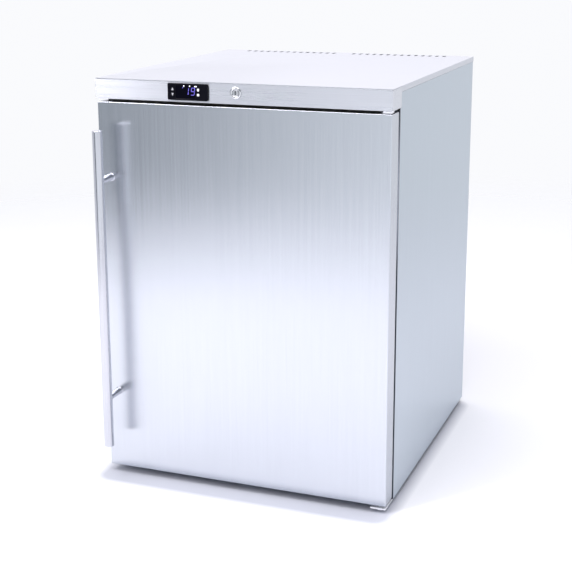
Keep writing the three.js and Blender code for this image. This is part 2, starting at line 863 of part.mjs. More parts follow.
function addRefrigeration(group) {
  const shellProfile = [
    [0, 34],
    [38, 34],
    [58, 44],
    [66, 62],
    [66, 112],
    [71, 113],
    [71, 119],
    [66, 120],
    [66, 160],
    [58, 180],
    [36, 193],
    [0, 196],
  ];
  const shell = turnedZ(shellProfile, 0, 0, 24).scale(1.28, 1, 1).translate(compressorX, compressorY, 0);
  const mountPlate = box(compressorX - 105, compressorX + 105, compressorY - 62, compressorY + 62, 30, 33.5);
  const neck = box(compressorX - 30, compressorX + 30, compressorY - 30, compressorY + 30, 32, 50);
  piece(group, 'compressor', join(shell, mountPlate, neck), materials.blackPaint);

  const terminalX = compressorX + 92;
  const terminalBox = box(terminalX, terminalX + 34, compressorY - 28, compressorY + 28, 84, 150);
  piece(group, 'terminal_cover', terminalBox, materials.blackPlastic);

  const trayShape = (wall, top) =>
    box(
      dripTray.x0 + wall,
      dripTray.x1 - wall,
      dripTray.y0 + wall,
      dripTray.y1 - wall,
      dripTray.z0 + wall,
      top,
    );
  const tray = cut(trayShape(0, dripTray.z1), trayShape(dripTray.wall, dripTray.z1 + 1));
  piece(group, 'drip_tray', tray, materials.blackPlastic);
  const tubeBottom = dripTray.z0 + 12;
  const tube = cut(
    cylinderZ(drain.x, drain.y, drain.radius, tubeBottom, stepTop - linerSheet - clearance, 16),
    cylinderZ(drain.x, drain.y, drain.radius - 2, tubeBottom - 2, stepTop, 12),
  );
  piece(group, 'drain_tube', tube, materials.greyRubber);

  const coilHalf = 232;
  const coilBottom = 262;
  const coilTop = 782;
  const passes = 12;
  const pitch = (coilTop - coilBottom) / (passes - 1);
  const path = [];
  for (let i = 0; i < passes; i += 1) {
    const z = coilTop - i * pitch;
    const side = i % 2 ? -1 : 1;
    path.push([side * coilHalf, coilY, z], [-side * coilHalf, coilY, z]);
  }
  const coilTube = 2.6;
  piece(group, 'condenser_coil', bentTube(path, coilTube, pitch / 2 - 1, 6), materials.blackPaint);

  const wireY = coilY - coilTube - clearance;
  const wires = [];
  const wireCount = 17;
  const wirePitch = 27;
  for (let i = 0; i < wireCount; i += 1) {
    const x = (i - (wireCount - 1) / 2) * wirePitch;
    wires.push(box(x - 1, x + 1, wireY - 2, wireY, coilBottom - 10, coilTop + 8));
  }
  for (const z of [coilBottom + pitch / 2, coilTop - pitch / 2]) {
    wires.push(box(-224, 224, wireY - 3.5, wireY - 1, z - 4, z + 4));
  }
  piece(group, 'condenser_wires', join(...wires), materials.blackPaint);

  const pipe = 3;
  const hotTop = coilTop + 1.5;
  const discharge = [
    [compressorX + 70, compressorY + 56, 100],
    [150, compressorY + 56, 100],
    [150, coilY, 100],
    [258, coilY, 100],
    [258, coilY, hotTop],
    [coilHalf + clearance, coilY, hotTop - 1.5],
  ];
  piece(group, 'discharge_line', bentTube(discharge, pipe, 14), materials.copper);
  const dryer = turnedZ(
    [
      [0, 130],
      [3, 130],
      [9, 138],
      [9, 216],
      [3, 224],
      [0, 224],
    ],
    -coilHalf,
    coilY,
    16,
  );
  piece(group, 'filter_drier', dryer, materials.copper);

  const face = sideRear + inlet.proud;
  const mouthBack = face - inletMouth.depth;
  const inletBlock = (halfWidth, halfHeight, y0, y1) =>
    box(inlet.x - halfWidth, inlet.x + halfWidth, y0, y1, inlet.z - halfHeight, inlet.z + halfHeight);
  const pins = [-7, 0, 7].map((x) =>
    box(inlet.x + x - 1, inlet.x + x + 1, mouthBack - 1, face - 6, inlet.z - 2, inlet.z + 2),
  );
  const inletShell = cut(
    join(
      inletBlock(inlet.halfWidth, inlet.halfHeight, face - inlet.bodyDepth, face),
      inletBlock(inlet.halfWidth + inlet.flange, inlet.halfHeight + inlet.flange, sideRear - 1.2, face),
    ),
    inletBlock(inletMouth.halfWidth, inletMouth.halfHeight, mouthBack, face + 1),
  );
  piece(group, 'power_inlet', join(inletShell, ...pins), materials.blackPlastic);
}

// ---- Feet ----

function addFeet(group) {
  const profile = [
    [0, 0],
    [foot.padRadius - 1, 0],
    [foot.padRadius, 1],
    [foot.padRadius, foot.padHeight - 2],
    [foot.padRadius - 4, foot.padHeight],
    [foot.studRadius, foot.padHeight],
    [foot.studRadius, foot.studTop],
    [0, foot.studTop],
  ];
  const names = [['foot_front_left', 'foot_front_right'], ['foot_rear_left', 'foot_rear_right']];
  footRows.forEach((y, row) => {
    [-footX, footX].forEach((x, column) => {
      piece(group, names[row][column], turnedZ(profile, 0, 0, 16), materials.blackPlastic, [x, y, 0]);
    });
  });
}

const refrigerator = new THREE.Group();
refrigerator.name = 'undercounter_refrigerator';
const cabinet = new THREE.Group();
cabinet.position.y = (handleReach - cabinetDepth) / 2;
refrigerator.add(cabinet);

const door = new THREE.Group();
cabinet.add(door);

addCasing(cabinet);
addInsulation(cabinet);
addFascia(cabinet);
addHinges(cabinet);
addInterior(cabinet);
addRefrigeration(cabinet);
addFeet(cabinet);
addDoor(door);

export default refrigerator;
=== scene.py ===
import json
import math

import bmesh
import bpy
from mathutils import Euler, Matrix, Vector


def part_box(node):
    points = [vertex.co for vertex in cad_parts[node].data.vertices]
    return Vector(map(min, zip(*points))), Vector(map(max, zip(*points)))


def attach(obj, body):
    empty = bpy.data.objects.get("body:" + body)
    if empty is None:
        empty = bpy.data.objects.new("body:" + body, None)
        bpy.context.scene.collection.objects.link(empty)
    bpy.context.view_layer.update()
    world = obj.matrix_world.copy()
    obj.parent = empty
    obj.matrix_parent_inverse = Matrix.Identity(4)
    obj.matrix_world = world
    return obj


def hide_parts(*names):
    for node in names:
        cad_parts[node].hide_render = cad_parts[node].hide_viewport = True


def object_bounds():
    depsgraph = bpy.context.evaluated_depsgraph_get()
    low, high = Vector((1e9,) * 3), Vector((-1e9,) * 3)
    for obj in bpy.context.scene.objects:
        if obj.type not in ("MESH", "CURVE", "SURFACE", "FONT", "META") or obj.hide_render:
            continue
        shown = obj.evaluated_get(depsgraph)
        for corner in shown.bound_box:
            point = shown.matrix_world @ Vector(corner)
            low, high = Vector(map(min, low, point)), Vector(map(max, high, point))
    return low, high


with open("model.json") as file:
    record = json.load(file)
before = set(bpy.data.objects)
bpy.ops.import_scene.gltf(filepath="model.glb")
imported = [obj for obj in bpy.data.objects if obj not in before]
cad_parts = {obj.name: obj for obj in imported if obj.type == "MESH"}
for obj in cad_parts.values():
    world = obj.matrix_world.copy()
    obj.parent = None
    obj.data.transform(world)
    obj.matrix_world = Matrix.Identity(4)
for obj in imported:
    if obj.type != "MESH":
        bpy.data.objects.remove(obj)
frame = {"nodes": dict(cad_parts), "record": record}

mm = 0.001
scene = bpy.context.scene
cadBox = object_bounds()
bodyOf = {node: body for body, nodes in frame["record"]["behaviour"]["bodies"].items() for node in nodes}
print("frame loaded:", len(frame["nodes"]), "nodes")


# Node trees: one wrapper for sockets, one for the tree they live in.
class Link:
    def __init__(self, graph, socket):
        self.graph = graph
        self.socket = socket

    def __add__(self, other):
        return self.graph.maths("ADD", self, other)

    def __radd__(self, other):
        return self.graph.maths("ADD", other, self)

    def __sub__(self, other):
        return self.graph.maths("SUBTRACT", self, other)

    def __rsub__(self, other):
        return self.graph.maths("SUBTRACT", other, self)

    def __mul__(self, other):
        return self.graph.maths("MULTIPLY", self, other)

    def __rmul__(self, other):
        return self.graph.maths("MULTIPLY", other, self)


class Graph:
    def __init__(self, tree):
        self.tree = tree

    def node(self, kind, settings=None, inputs=None, output=0):
        made = self.tree.nodes.new(kind)
        made.location = (190 * len(self.tree.nodes), 0)
        for name, value in (settings or {}).items():
            setattr(made, name, value)
        for name, value in (inputs or {}).items():
            if isinstance(value, Link):
                self.tree.links.new(value.socket, made.inputs[name])
            else:
                made.inputs[name].default_value = value
        return Link(self, made.outputs[output]) if made.outputs else made

    def maths(self, operation, a, b=0.0):
        return self.node("ShaderNodeMath", {"operation": operation}, {0: a, 1: b})

    def mix(self, factor, a, b):
        first, second = [x if isinstance(x, Link) else (*x, 1) for x in (a, b)]
        return self.node("ShaderNodeMix", {"data_type": "RGBA"}, {0: factor, 6: first, 7: second}, 2)

    def split(self, coords):
        # X, Y and Z of a vector, as three links
        parts = self.node("ShaderNodeSeparateXYZ", None, {"Vector": coords})
        return [Link(self, socket) for socket in parts.socket.node.outputs]


def place(graph, scale=(1, 1, 1), turn=(0, 0, 0)):
    coords = graph.node("ShaderNodeTexCoord", output="Object")
    return graph.node("ShaderNodeMapping", None, {"Vector": coords, "Scale": scale, "Rotation": turn})


def noise(graph, scale, stretch=(1, 1, 1), detail=3.0, roughness=0.55):
    values = {"Vector": place(graph, stretch), "Scale": scale, "Detail": detail, "Roughness": roughness}
    return graph.node("ShaderNodeTexNoise", None, values)


def ramp(graph, factor, low, high):
    values = {"Value": factor, "From Min": low, "From Max": high}
    return graph.node("ShaderNodeMapRange", {"clamp": True}, values)


def edgeMask(graph, reach=1.1):
    # 1 where the surface turns within reach (mm), broken up so that the wear is uneven
    rounded = graph.node("ShaderNodeBevel", {"samples": 4}, {"Radius": reach * mm})
    flat = graph.node("ShaderNodeNewGeometry", output="Normal")
    agree = graph.node("ShaderNodeVectorMath", {"operation": "DOT_PRODUCT"}, {0: rounded, 1: flat}, "Value")
    return ramp(graph, 1 - agree, 0.02, 0.16) * ramp(graph, noise(graph, 60), 0.35, 0.65)


def surface(name, build, **fixed):
    material = bpy.data.materials.new(name)
    material.use_nodes = True
    material.node_tree.nodes.clear()
    graph = Graph(material.node_tree)
    values = build(graph)
    height = values.pop("height", None)
    if height is not None:
        settings = {
            "Strength": values.pop("bump", 0.2), "Distance": values.pop("depth", 0.2) * mm, "Height": height
}
        values["Normal"] = graph.node("ShaderNodeBump", None, settings)
    values.update(fixed)
    shader = graph.node("ShaderNodeBsdfPrincipled", None, values)
    graph.node("ShaderNodeOutputMaterial", None, {"Surface": shader})
    material.diffuse_color = (0.6, 0.6, 0.6, 1)
    return material


steelLook = {
    "light": (0.612, 0.629, 0.672),
    "dark": (0.566, 0.584, 0.628),
    # the next three: the colour painted as shade along the door gap, and how far back and how far in that
    # painted shade reaches
    "gapShadeColour": (0.10, 0.11, 0.13),
    "gapDepth": (0.0010, 0.0020),
    "gapInset": (0.0060, 0.0045),
    "worn": (0.76, 0.77, 0.80),
    "roughness": 0.27,
    "anisotropy": 0.75,
    "fineGrain": 1500.0,
    "broadGrain": 420.0,
    "alongGrain": 0.006,
}


def gapShade(graph, front, outer):
    # 1 on the narrow front edge beside the door gap, where the gap's shade is painted dark into the colour
    x, y, z = graph.split(graph.node("ShaderNodeTexCoord", output="Object"))
    nearFront = 1 - ramp(graph, y, *(front + depth for depth in steelLook["gapDepth"]))
    return nearFront * ramp(
        graph, graph.maths("ABSOLUTE", x), *(outer - inset for inset in steelLook["gapInset"])
)


def brushedSteel(
    name, grain, turn=0.0, anisotropy=None, roughness=None, bump=0.004, tint=(1, 1, 1), gapShadeEdge=None
):
    # grain is the axis of the brush marks; the noise is drawn out along it
    look = steelLook
    base = look["roughness"] if roughness is None else roughness

    def build(graph):
        stretch = tuple(look["alongGrain"] if axis == grain else 1.0 for axis in "XYZ")
        fine = noise(graph, look["fineGrain"], stretch, 2.0)
        broad = noise(graph, look["broadGrain"], stretch, 3.0)
        cloud = noise(graph, 3.0, (1, 1, 1), 2.0)
        wear = edgeMask(graph)
        tone = ramp(graph, fine * 0.5 + broad * 0.5, 0.34, 0.66)
        dark, light = (tuple(a * b for a, b in zip(tint, look[key])) for key in ("dark", "light"))
        sheet = graph.mix(tone, dark, light)
        # painted shade: the front edge beside the door gap takes the gap's shade colour and loses its wear
        if gapShadeEdge:
            gap = gapShade(graph, *gapShadeEdge)
            sheet = graph.mix(gap, sheet, look["gapShadeColour"])
            wear = wear * (1 - gap)
        return {
            "Base Color": graph.mix(wear * 0.5, sheet, look["worn"]),
            "Roughness": base + (broad - 0.5) * 0.05 + (cloud - 0.5) * 0.03 - wear * 0.05,
            "height": fine * 0.6 + broad * 0.4,
            "bump": bump,
            "depth": 0.1,
        }

    along = look["anisotropy"] if anisotropy is None else anisotropy
    return surface(name, build, Metallic=1.0, Anisotropic=along, **{"Anisotropic Rotation": turn})


def satinSteel(name, tint, roughness, scratches=0.05):
    def build(graph):
        grain = noise(graph, 700.0, (1, 1, 0.02), 2.0)
        cloud = noise(graph, 30.0, (1, 1, 0.2), 3.0)
        wear = edgeMask(graph)
        darker = tuple(0.88 * c for c in tint)
        return {
            "Base Color": graph.mix(ramp(graph, grain, 0.3, 0.7), darker, tint),
            "Roughness": roughness + (cloud - 0.5) * 0.10 + (grain - 0.5) * 0.06 - wear * 0.05,
            "height": grain,
            "bump": scratches,
            "depth": 0.08,
        }

    return surface(name, build, Metallic=1.0)


def zincSheet(name):
    def build(graph):
        values = {"Vector": place(graph), "Scale": 95.0, "Randomness": 1.0}
        spangle = graph.node("ShaderNodeTexVoronoi", {"feature": "F1"}, values, "Color")
        cell = graph.node("ShaderNodeRGBToBW", None, {"Color": spangle})
        cloud = noise(graph, 12.0)
        wear = edgeMask(graph)
        sheet = graph.mix(cell, (0.36, 0.38, 0.40), (0.56, 0.58, 0.60))
        return {
            "Base Color": graph.mix(wear * 0.5, sheet, (0.68, 0.69, 0.70)),
            "Roughness": 0.34 + cell * 0.16 + (cloud - 0.5) * 0.12,
            "height": cell * 0.5 + cloud * 0.5,
            "bump": 0.06,
            "depth": 0.1,
        }

    return surface(name, build, Metallic=0.9)


def moulding(name, colour, roughness, grainScale, bump, fleck=0.12, **fixed):
    # plastics and enamels: a fine texture, slow gloss changes and paler edges
    def build(graph):
        grain = noise(graph, grainScale, detail=2.0)
        cloud = noise(graph, 14.0, detail=3.0)
        wear = edgeMask(graph)
        deeper = tuple(c * (1 - fleck) for c in colour)
        paler = tuple(min(1.0, c * 1.25 + 0.02) for c in colour)
        body = graph.mix(ramp(graph, cloud, 0.35, 0.65), deeper, colour)
        return {
            "Base Color": graph.mix(wear * 0.5, body, paler),
            "Roughness": roughness + (cloud - 0.5) * 0.12 + (grain - 0.5) * 0.05,
            "height": grain,
            "bump": bump,
            "depth": 0.15,
        }

    return surface(name, build, **fixed)


def copperTube(name):
    def build(graph):
        tarnish = ramp(graph, noise(graph, 26.0, detail=5.0), 0.42, 0.66)
        scratch = noise(graph, 420.0, (1, 1, 0.1), 2.0)
        return {
            "Base Color": graph.mix(tarnish, (0.62, 0.30, 0.17), (0.26, 0.13, 0.085)),
            "Roughness": 0.27 + tarnish * 0.22 + (scratch - 0.5) * 0.08,
            "height": scratch,
            "bump": 0.06,
        }

    return surface(name, build, Metallic=1.0)


def shadedFoam(name):
    def build(graph):
        values = {"Vector": place(graph), "Scale": 260.0}
        cell = graph.node("ShaderNodeTexVoronoi", {"feature": "F1"}, values, "Distance")
        cloud = noise(graph, 9.0)
        # painted shade: these colours are the foam's own scaled down to about a third, for the dark it sits
        # in behind the door gap
        return {
            "Base Color": graph.mix(cloud, (0.16, 0.135, 0.09), (0.24, 0.21, 0.15)),
            "Roughness": 0.8 + (cloud - 0.5) * 0.2,
            "height": cell,
            "bump": 0.4,
            "depth": 0.6,
        }

    return surface(name, build)


def glowing(name, colour, strength):
    def build(graph):
        flicker = ramp(graph, noise(graph, 900.0), 0.2, 0.8)
        return {
            "Base Color": graph.mix(flicker, tuple(0.7 * c for c in colour), colour),
            "Emission Color": graph.mix(flicker, tuple(0.85 * c for c in colour), colour),
            "Roughness": 0.35 + flicker * 0.1,
        }

    return surface(name, build, **{"Emission Strength": strength})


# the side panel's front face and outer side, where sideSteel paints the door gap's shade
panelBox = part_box("side_panel_right")
panelEdge = (panelBox[0][1], panelBox[1][0])

paint = {
    "doorSteel": brushedSteel("doorSteel", "Z", roughness=0.235, bump=0.0021, tint=(0.975, 0.99, 1.0)),
    # sideSteel is tinted darker and cooler than the door's steel: painted shade for how the sides are lit
    "sideSteel": brushedSteel(
        "sideSteel", "Z", roughness=0.33, bump=0.0015, tint=(0.92, 0.985, 1.0), gapShadeEdge=panelEdge
),
    "topSteel": brushedSteel("topSteel", "X", anisotropy=0.0, roughness=0.34, bump=0.002),
    "fasciaSteel": brushedSteel("fasciaSteel", "X", turn=0.25, anisotropy=0.9, roughness=0.28, bump=0.0012),
    "handleSteel": satinSteel("handleSteel", (0.60, 0.61, 0.66), 0.18),
    "polishedSteel": satinSteel("polishedSteel", (0.72, 0.73, 0.76), 0.12, 0.03),
    "zincSheet": zincSheet("zincSheet"),
    "zincScrew": satinSteel("zincScrew", (0.62, 0.63, 0.66), 0.3),
    "blackEnamel": moulding("blackEnamel", (0.012, 0.012, 0.014), 0.36, 180.0, 0.10),
    "blackPlastic": moulding("blackPlastic", (0.010, 0.010, 0.013), 0.42, 900.0, 0.12),
    "bezelPlastic": moulding(
        "bezelPlastic", (0.003, 0.003, 0.006), 0.30, 1200.0, 0.05, **{"Specular IOR Level": 0.06}
),
    "windowGloss": moulding(
        "windowGloss", (0.002, 0.002, 0.005), 0.12, 300.0, 0.01, **{"Specular IOR Level": 0.05}
),
    "keyPlastic": moulding(
        "keyPlastic", (0.005, 0.005, 0.008), 0.38, 1200.0, 0.08, **{"Specular IOR Level": 0.1}
),
    "footPlastic": moulding("footPlastic", (0.02, 0.02, 0.022), 0.5, 700.0, 0.15),
    "linerPlastic": moulding("linerPlastic", (0.70, 0.71, 0.73), 0.32, 90.0, 0.015, 0.015),
    "greyRubber": moulding("greyRubber", (0.045, 0.047, 0.055), 0.62, 500.0, 0.2),
    "brightZinc": moulding("brightZinc", (0.88, 0.89, 0.93), 0.34, 300.0, 0.04, 0.05, Metallic=0.25),
    "finMetal": satinSteel("finMetal", (0.62, 0.64, 0.65), 0.36),
    "copperTube": copperTube("copperTube"),
    "shelfCoat": moulding("shelfCoat", (0.62, 0.64, 0.67), 0.24, 240.0, 0.05, 0.06),
    "shadedFoam": shadedFoam("shadedFoam"),
    "digitGlow": glowing("digitGlow", (0.17, 0.14, 0.72), 0.8),
    "lampGlow": glowing("lampGlow", (0.86, 0.88, 0.95), 0.9),
    "greyPrint": moulding("greyPrint", (0.50, 0.51, 0.54), 0.45, 800.0, 0.05),
    "whitePrint": moulding("whitePrint", (0.85, 0.86, 0.90), 0.4, 800.0, 0.05),
}
print("materials made:", len(paint))


def addObject(name, mesh):
    piece = bpy.data.objects.new(name, mesh)
    scene.collection.objects.link(piece)
    return piece


def setPaint(piece, finish):
    piece.data.materials.clear()
    piece.data.materials.append(paint[finish])


def settle(piece, nodes=(), body=None):
    # a piece rides where the node it stands for rides
    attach(piece, body or bodyOf[nodes[0]])
    if nodes:
        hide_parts(*nodes)
    return piece


def smoothBy(mesh, degrees):
    mesh.shade_smooth()
    mesh.set_sharp_from_angle(angle=math.radians(degrees))


def meshFrom(bm, name, degrees=40.0, recalculate=True):
    if recalculate:
        bmesh.ops.recalc_face_normals(bm, faces=bm.faces)
    mesh = bpy.data.meshes.new(name)
    bm.to_mesh(mesh)
    bm.free()
    smoothBy(mesh, degrees)
    return mesh


def softened(name, node, finish, bevel, smallest=0.0, segments=3, inset=0.0):
    # a CAD node's own shape, merged, with its folds rounded where both faces are larger than smallest (mm2)
    bm = bmesh.new()
    bm.from_mesh(frame["nodes"][node].data)
    bmesh.ops.remove_doubles(bm, verts=bm.verts, dist=0.005 * mm)
    bmesh.ops.dissolve_limit(bm, angle_limit=math.radians(0.5), verts=bm.verts, edges=bm.edges)
    if inset:
        x, y, z = limits(node)
        for vertex in bm.verts:
            for axis, (low, high) in ((0, x), (2, z)):
                value = vertex.co[axis] / mm
                if min(value - low, high - value) < 1.5:
                    vertex.co[axis] += (inset if value - low < 1.5 else -inset) * mm
    weights = bm.edges.layers.float.new("bevel_weight_edge")
    for edge in bm.edges:
        if len(edge.link_faces) == 2 and edge.calc_face_angle(0) > math.radians(35):
            if min(face.calc_area() for face in edge.link_faces) > smallest * mm * mm:
                edge[weights] = 1.0
    piece = addObject(name, meshFrom(bm, name, 40, False))
    modifier = piece.modifiers.new("folds", "BEVEL")
    modifier.limit_method = "WEIGHT"
    modifier.width = bevel * mm
    modifier.segments = segments
    modifier.harden_normals = True
    setPaint(piece, finish)
    return settle(piece, [node])


def turned(bm, profile, centre, axis="Z", sides=48, squeeze=(1, 1)):
    # a profile of (radius, distance along the axis) in mm, turned about the centre (mm)
    spin = {
        "X": Matrix.Rotation(math.pi / 2, 3, "Y"),
        "Y": Matrix.Rotation(-math.pi / 2, 3, "X"),
        "Z": Matrix.Identity(3),
}
    rows = []
    for radius, along in profile:
        count = 1 if radius < 1e-6 else sides
        row = []
        for i in range(count):
            angle = 2 * math.pi * i / sides
            local = Vector(
                (radius * squeeze[0] * math.cos(angle), radius * squeeze[1] * math.sin(angle), along)
)
            row.append(bm.verts.new((Vector(centre) + spin[axis] @ local) * mm))
        rows.append(row)
    for low, high in zip(rows, rows[1:]):
        for i in range(sides):
            j = (i + 1) % sides
            corners = [low[i % len(low)], low[j % len(low)], high[j % len(high)], high[i % len(high)]]
            unique = list(dict.fromkeys(corners))
            if len(unique) > 2:
                bm.faces.new(unique)
    return bm


def rounded(radius, start, stop, corner, steps=5):
    # a solid rod's profile with rounded ends, from start to stop along its axis
    points = [(0, start)]
    for i in range(steps + 1):
        angle = math.pi / 2 * i / steps
        points.append((radius - corner + corner * math.sin(angle), start + corner - corner * math.cos(angle)))
    for i in range(steps + 1):
        angle = math.pi / 2 * i / steps
        points.append((radius - corner + corner * math.cos(angle), stop - corner + corner * math.sin(angle)))
    return points + [(0, stop)]


def block(bm, x, y, z):
    # a box given by its limits in mm
    corners = [
        bm.verts.new((x[i] * mm, y[j] * mm, z[k] * mm)) for i in (0, 1) for j in (0, 1) for k in (0, 1)
]
    for a, b, c, d in ((0, 1, 3, 2), (4, 6, 7, 5), (0, 4, 5, 1), (2, 3, 7, 6), (0, 2, 6, 4), (1, 5, 7, 3)):
        bm.faces.new([corners[i] for i in (a, b, c, d)])


def plate(bm, outline, front, back):
    # an outline in X and Z (mm), given a thickness from front to back along Y (mm)
    near = [bm.verts.new((x * mm, front * mm, z * mm)) for x, z in outline]
    far = [bm.verts.new((x * mm, back * mm, z * mm)) for x, z in outline]
    bm.faces.new(near)
    bm.faces.new(far[::-1])
    for i, corner in enumerate(near):
        j = (i + 1) % len(near)
        bm.faces.new((near[j], corner, far[i], far[j]))


def finishMesh(name, bm, finish, degrees=40.0, bevel=0.0):
    piece = addObject(name, meshFrom(bm, name, degrees))
    if bevel:
        modifier = piece.modifiers.new("edges", "BEVEL")
        modifier.width = bevel * mm
        modifier.segments = 2
        modifier.limit_method = "ANGLE"
        modifier.harden_normals = True
    setPaint(piece, finish)
    return piece


def middle(node):
    low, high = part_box(node)
    return (low + high) / 2 / mm


def limits(node):
    # ((x0, x1), (y0, y1), (z0, z1)) in mm
    low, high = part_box(node)
    return tuple((a / mm, b / mm) for a, b in zip(low, high))


def openTree(name, inputs):
    tree = bpy.data.node_groups.new(name, "GeometryNodeTree")
    tree.interface.new_socket("Geometry", in_out="INPUT", socket_type="NodeSocketGeometry")
    for label, kind in inputs.items():
        tree.interface.new_socket(label, in_out="INPUT", socket_type="NodeSocket" + kind)
    tree.interface.new_socket("Material", in_out="INPUT", socket_type="NodeSocketMaterial")
    tree.interface.new_socket("Geometry", in_out="OUTPUT", socket_type="NodeSocketGeometry")
    graph = Graph(tree)
    entry = tree.nodes.new("NodeGroupInput")
    return graph, {socket.name: Link(graph, socket) for socket in entry.outputs if socket.name}


def closeTree(graph, geometry, given):
    whole = graph.node("GeometryNodeRealizeInstances", None, {"Geometry": geometry})
    smooth = graph.node("GeometryNodeSetShadeSmooth", None, {"Geometry": whole})
    painted = graph.node("GeometryNodeSetMaterial", None, {"Geometry": smooth, "Material": given["Material"]})
    exitNode = graph.tree.nodes.new("NodeGroupOutput")
    graph.tree.links.new(painted.socket, exitNode.inputs[0])
    return graph.tree


def joined(graph, *parts):
    node = graph.tree.nodes.new("GeometryNodeJoinGeometry")
    for part in parts:
        graph.tree.links.new(part.socket, node.inputs[0])
    return Link(graph, node.outputs[0])


def vector(graph, x=0.0, y=0.0, z=0.0):
    return graph.node("ShaderNodeCombineXYZ", None, {"X": x, "Y": y, "Z": z})


def wire(graph, curve, radius, sides):
    ring = graph.node("GeometryNodeCurvePrimitiveCircle", None, {"Resolution": sides, "Radius": radius})
    return graph.node(
        "GeometryNodeCurveToMesh", None, {"Curve": curve, "Profile Curve": ring, "Fill Caps": True}
)


def wireRow(graph, count, span, length, radius, sides, along, across, lift=0.0):
    # count straight wires of one length, spread over span; along and across are "X", "Y" or "Z"
    def axis(letter, value):
        return vector(graph, **{letter.lower(): value})

    half = length * 0.5
    line = graph.node(
        "GeometryNodeCurvePrimitiveLine", None, {"Start": axis(along, half * -1), "End": axis(along, half)}
)
    rod = wire(graph, line, radius, sides)
    start = graph.node(
        "ShaderNodeVectorMath", {"operation": "ADD"}, {0: axis(across, span * -0.5), 1: vector(graph, z=lift)}
)
    stop = graph.node(
        "ShaderNodeVectorMath", {"operation": "ADD"}, {0: axis(across, span * 0.5), 1: vector(graph, z=lift)}
)
    settings = {"mode": "END_POINTS", "count_mode": "TOTAL"}
    points = graph.node(
        "GeometryNodeMeshLine", settings, {"Count": count, "Start Location": start, "Offset": stop}
)
    return graph.node("GeometryNodeInstanceOnPoints", None, {"Points": points, "Instance": rod})


def moved(graph, geometry, centre, turn=(0, 0, 0)):
    values = {"Geometry": geometry, "Translation": centre, "Rotation": turn}
    return graph.node("GeometryNodeTransform", None, values)


def makeShelfTree():
    inputs = {"Width": "Float", "Depth": "Float", "Wire Radius": "Float", "Rim Radius": "Float"}
    inputs.update({"Wires": "Int", "Bars": "Int", "Centre": "Vector"})
    graph, given = openTree("wireShelf", inputs)
    rimSize = {"Width": given["Width"], "Height": given["Depth"]}
    rim = graph.node("GeometryNodeCurvePrimitiveQuadrilateral", None, rimSize)
    bend = {"Curve": rim, "Count": 6, "Radius": 0.014, "Limit Radius": True}
    rim = graph.node("GeometryNodeFilletCurve", {"mode": "POLY"}, bend)
    rim = wire(graph, rim, given["Rim Radius"], 10)
    inner = given["Width"] - given["Rim Radius"] * 8
    reach = given["Depth"]
    wires = wireRow(
        graph, given["Wires"], inner, reach, given["Wire Radius"], 8, "Y", "X", given["Wire Radius"]
)
    drop = (given["Wire Radius"] + given["Rim Radius"]) * -0.6
    barSpan = given["Depth"] * 0.62
    bars = wireRow(
        graph, given["Bars"], barSpan, given["Width"], given["Rim Radius"] * 0.8, 8, "X", "Y", drop
)
    return closeTree(graph, moved(graph, joined(graph, rim, wires, bars), given["Centre"]), given)


def makeWireRowTree():
    inputs = {"Span": "Float", "Length": "Float", "Radius": "Float", "Count": "Int", "Centre": "Vector"}
    graph, given = openTree("uprightWires", inputs)
    row = wireRow(graph, given["Count"], given["Span"], given["Length"], given["Radius"], 6, "Z", "X")
    return closeTree(graph, moved(graph, row, given["Centre"]), given)


def makePipeTree():
    graph, given = openTree("pipeRun", {"Radius": "Float", "Bend": "Float", "Sides": "Int"})
    curve = graph.node("GeometryNodeMeshToCurve", None, {"Mesh": given["Geometry"]})
    bend = {"Curve": curve, "Count": 7, "Radius": given["Bend"], "Limit Radius": True}
    curve = graph.node("GeometryNodeFilletCurve", {"mode": "POLY"}, bend)
    return closeTree(graph, wire(graph, curve, given["Radius"], given["Sides"]), given)


def makeScatterTree():
    # copies of one small part on the points given, each with its own quarter turn
    inputs = {"Part": "Object", "Turn": "Rotation", "Spread": "Float", "Seed": "Int"}
    graph, given = openTree("smallParts", inputs)
    part = graph.node(
        "GeometryNodeObjectInfo", {"transform_space": "ORIGINAL"}, {"Object": given["Part"]}, "Geometry"
)
    values = {"Min": given["Spread"] * -1, "Max": given["Spread"], "Seed": given["Seed"]}
    angle = graph.node(
        "FunctionNodeRandomValue",
        {"data_type": "FLOAT"},
        {2: values["Min"], 3: values["Max"], 8: values["Seed"]},
        1,
)
    twist = graph.node("FunctionNodeEulerToRotation", None, {0: vector(graph, z=angle)})
    rotation = graph.node(
        "FunctionNodeRotateRotation", {"rotation_space": "LOCAL"}, {0: given["Turn"], 1: twist}
)
    values = {"Points": given["Geometry"], "Instance": part, "Rotation": rotation}
    return closeTree(graph, graph.node("GeometryNodeInstanceOnPoints", None, values), given)


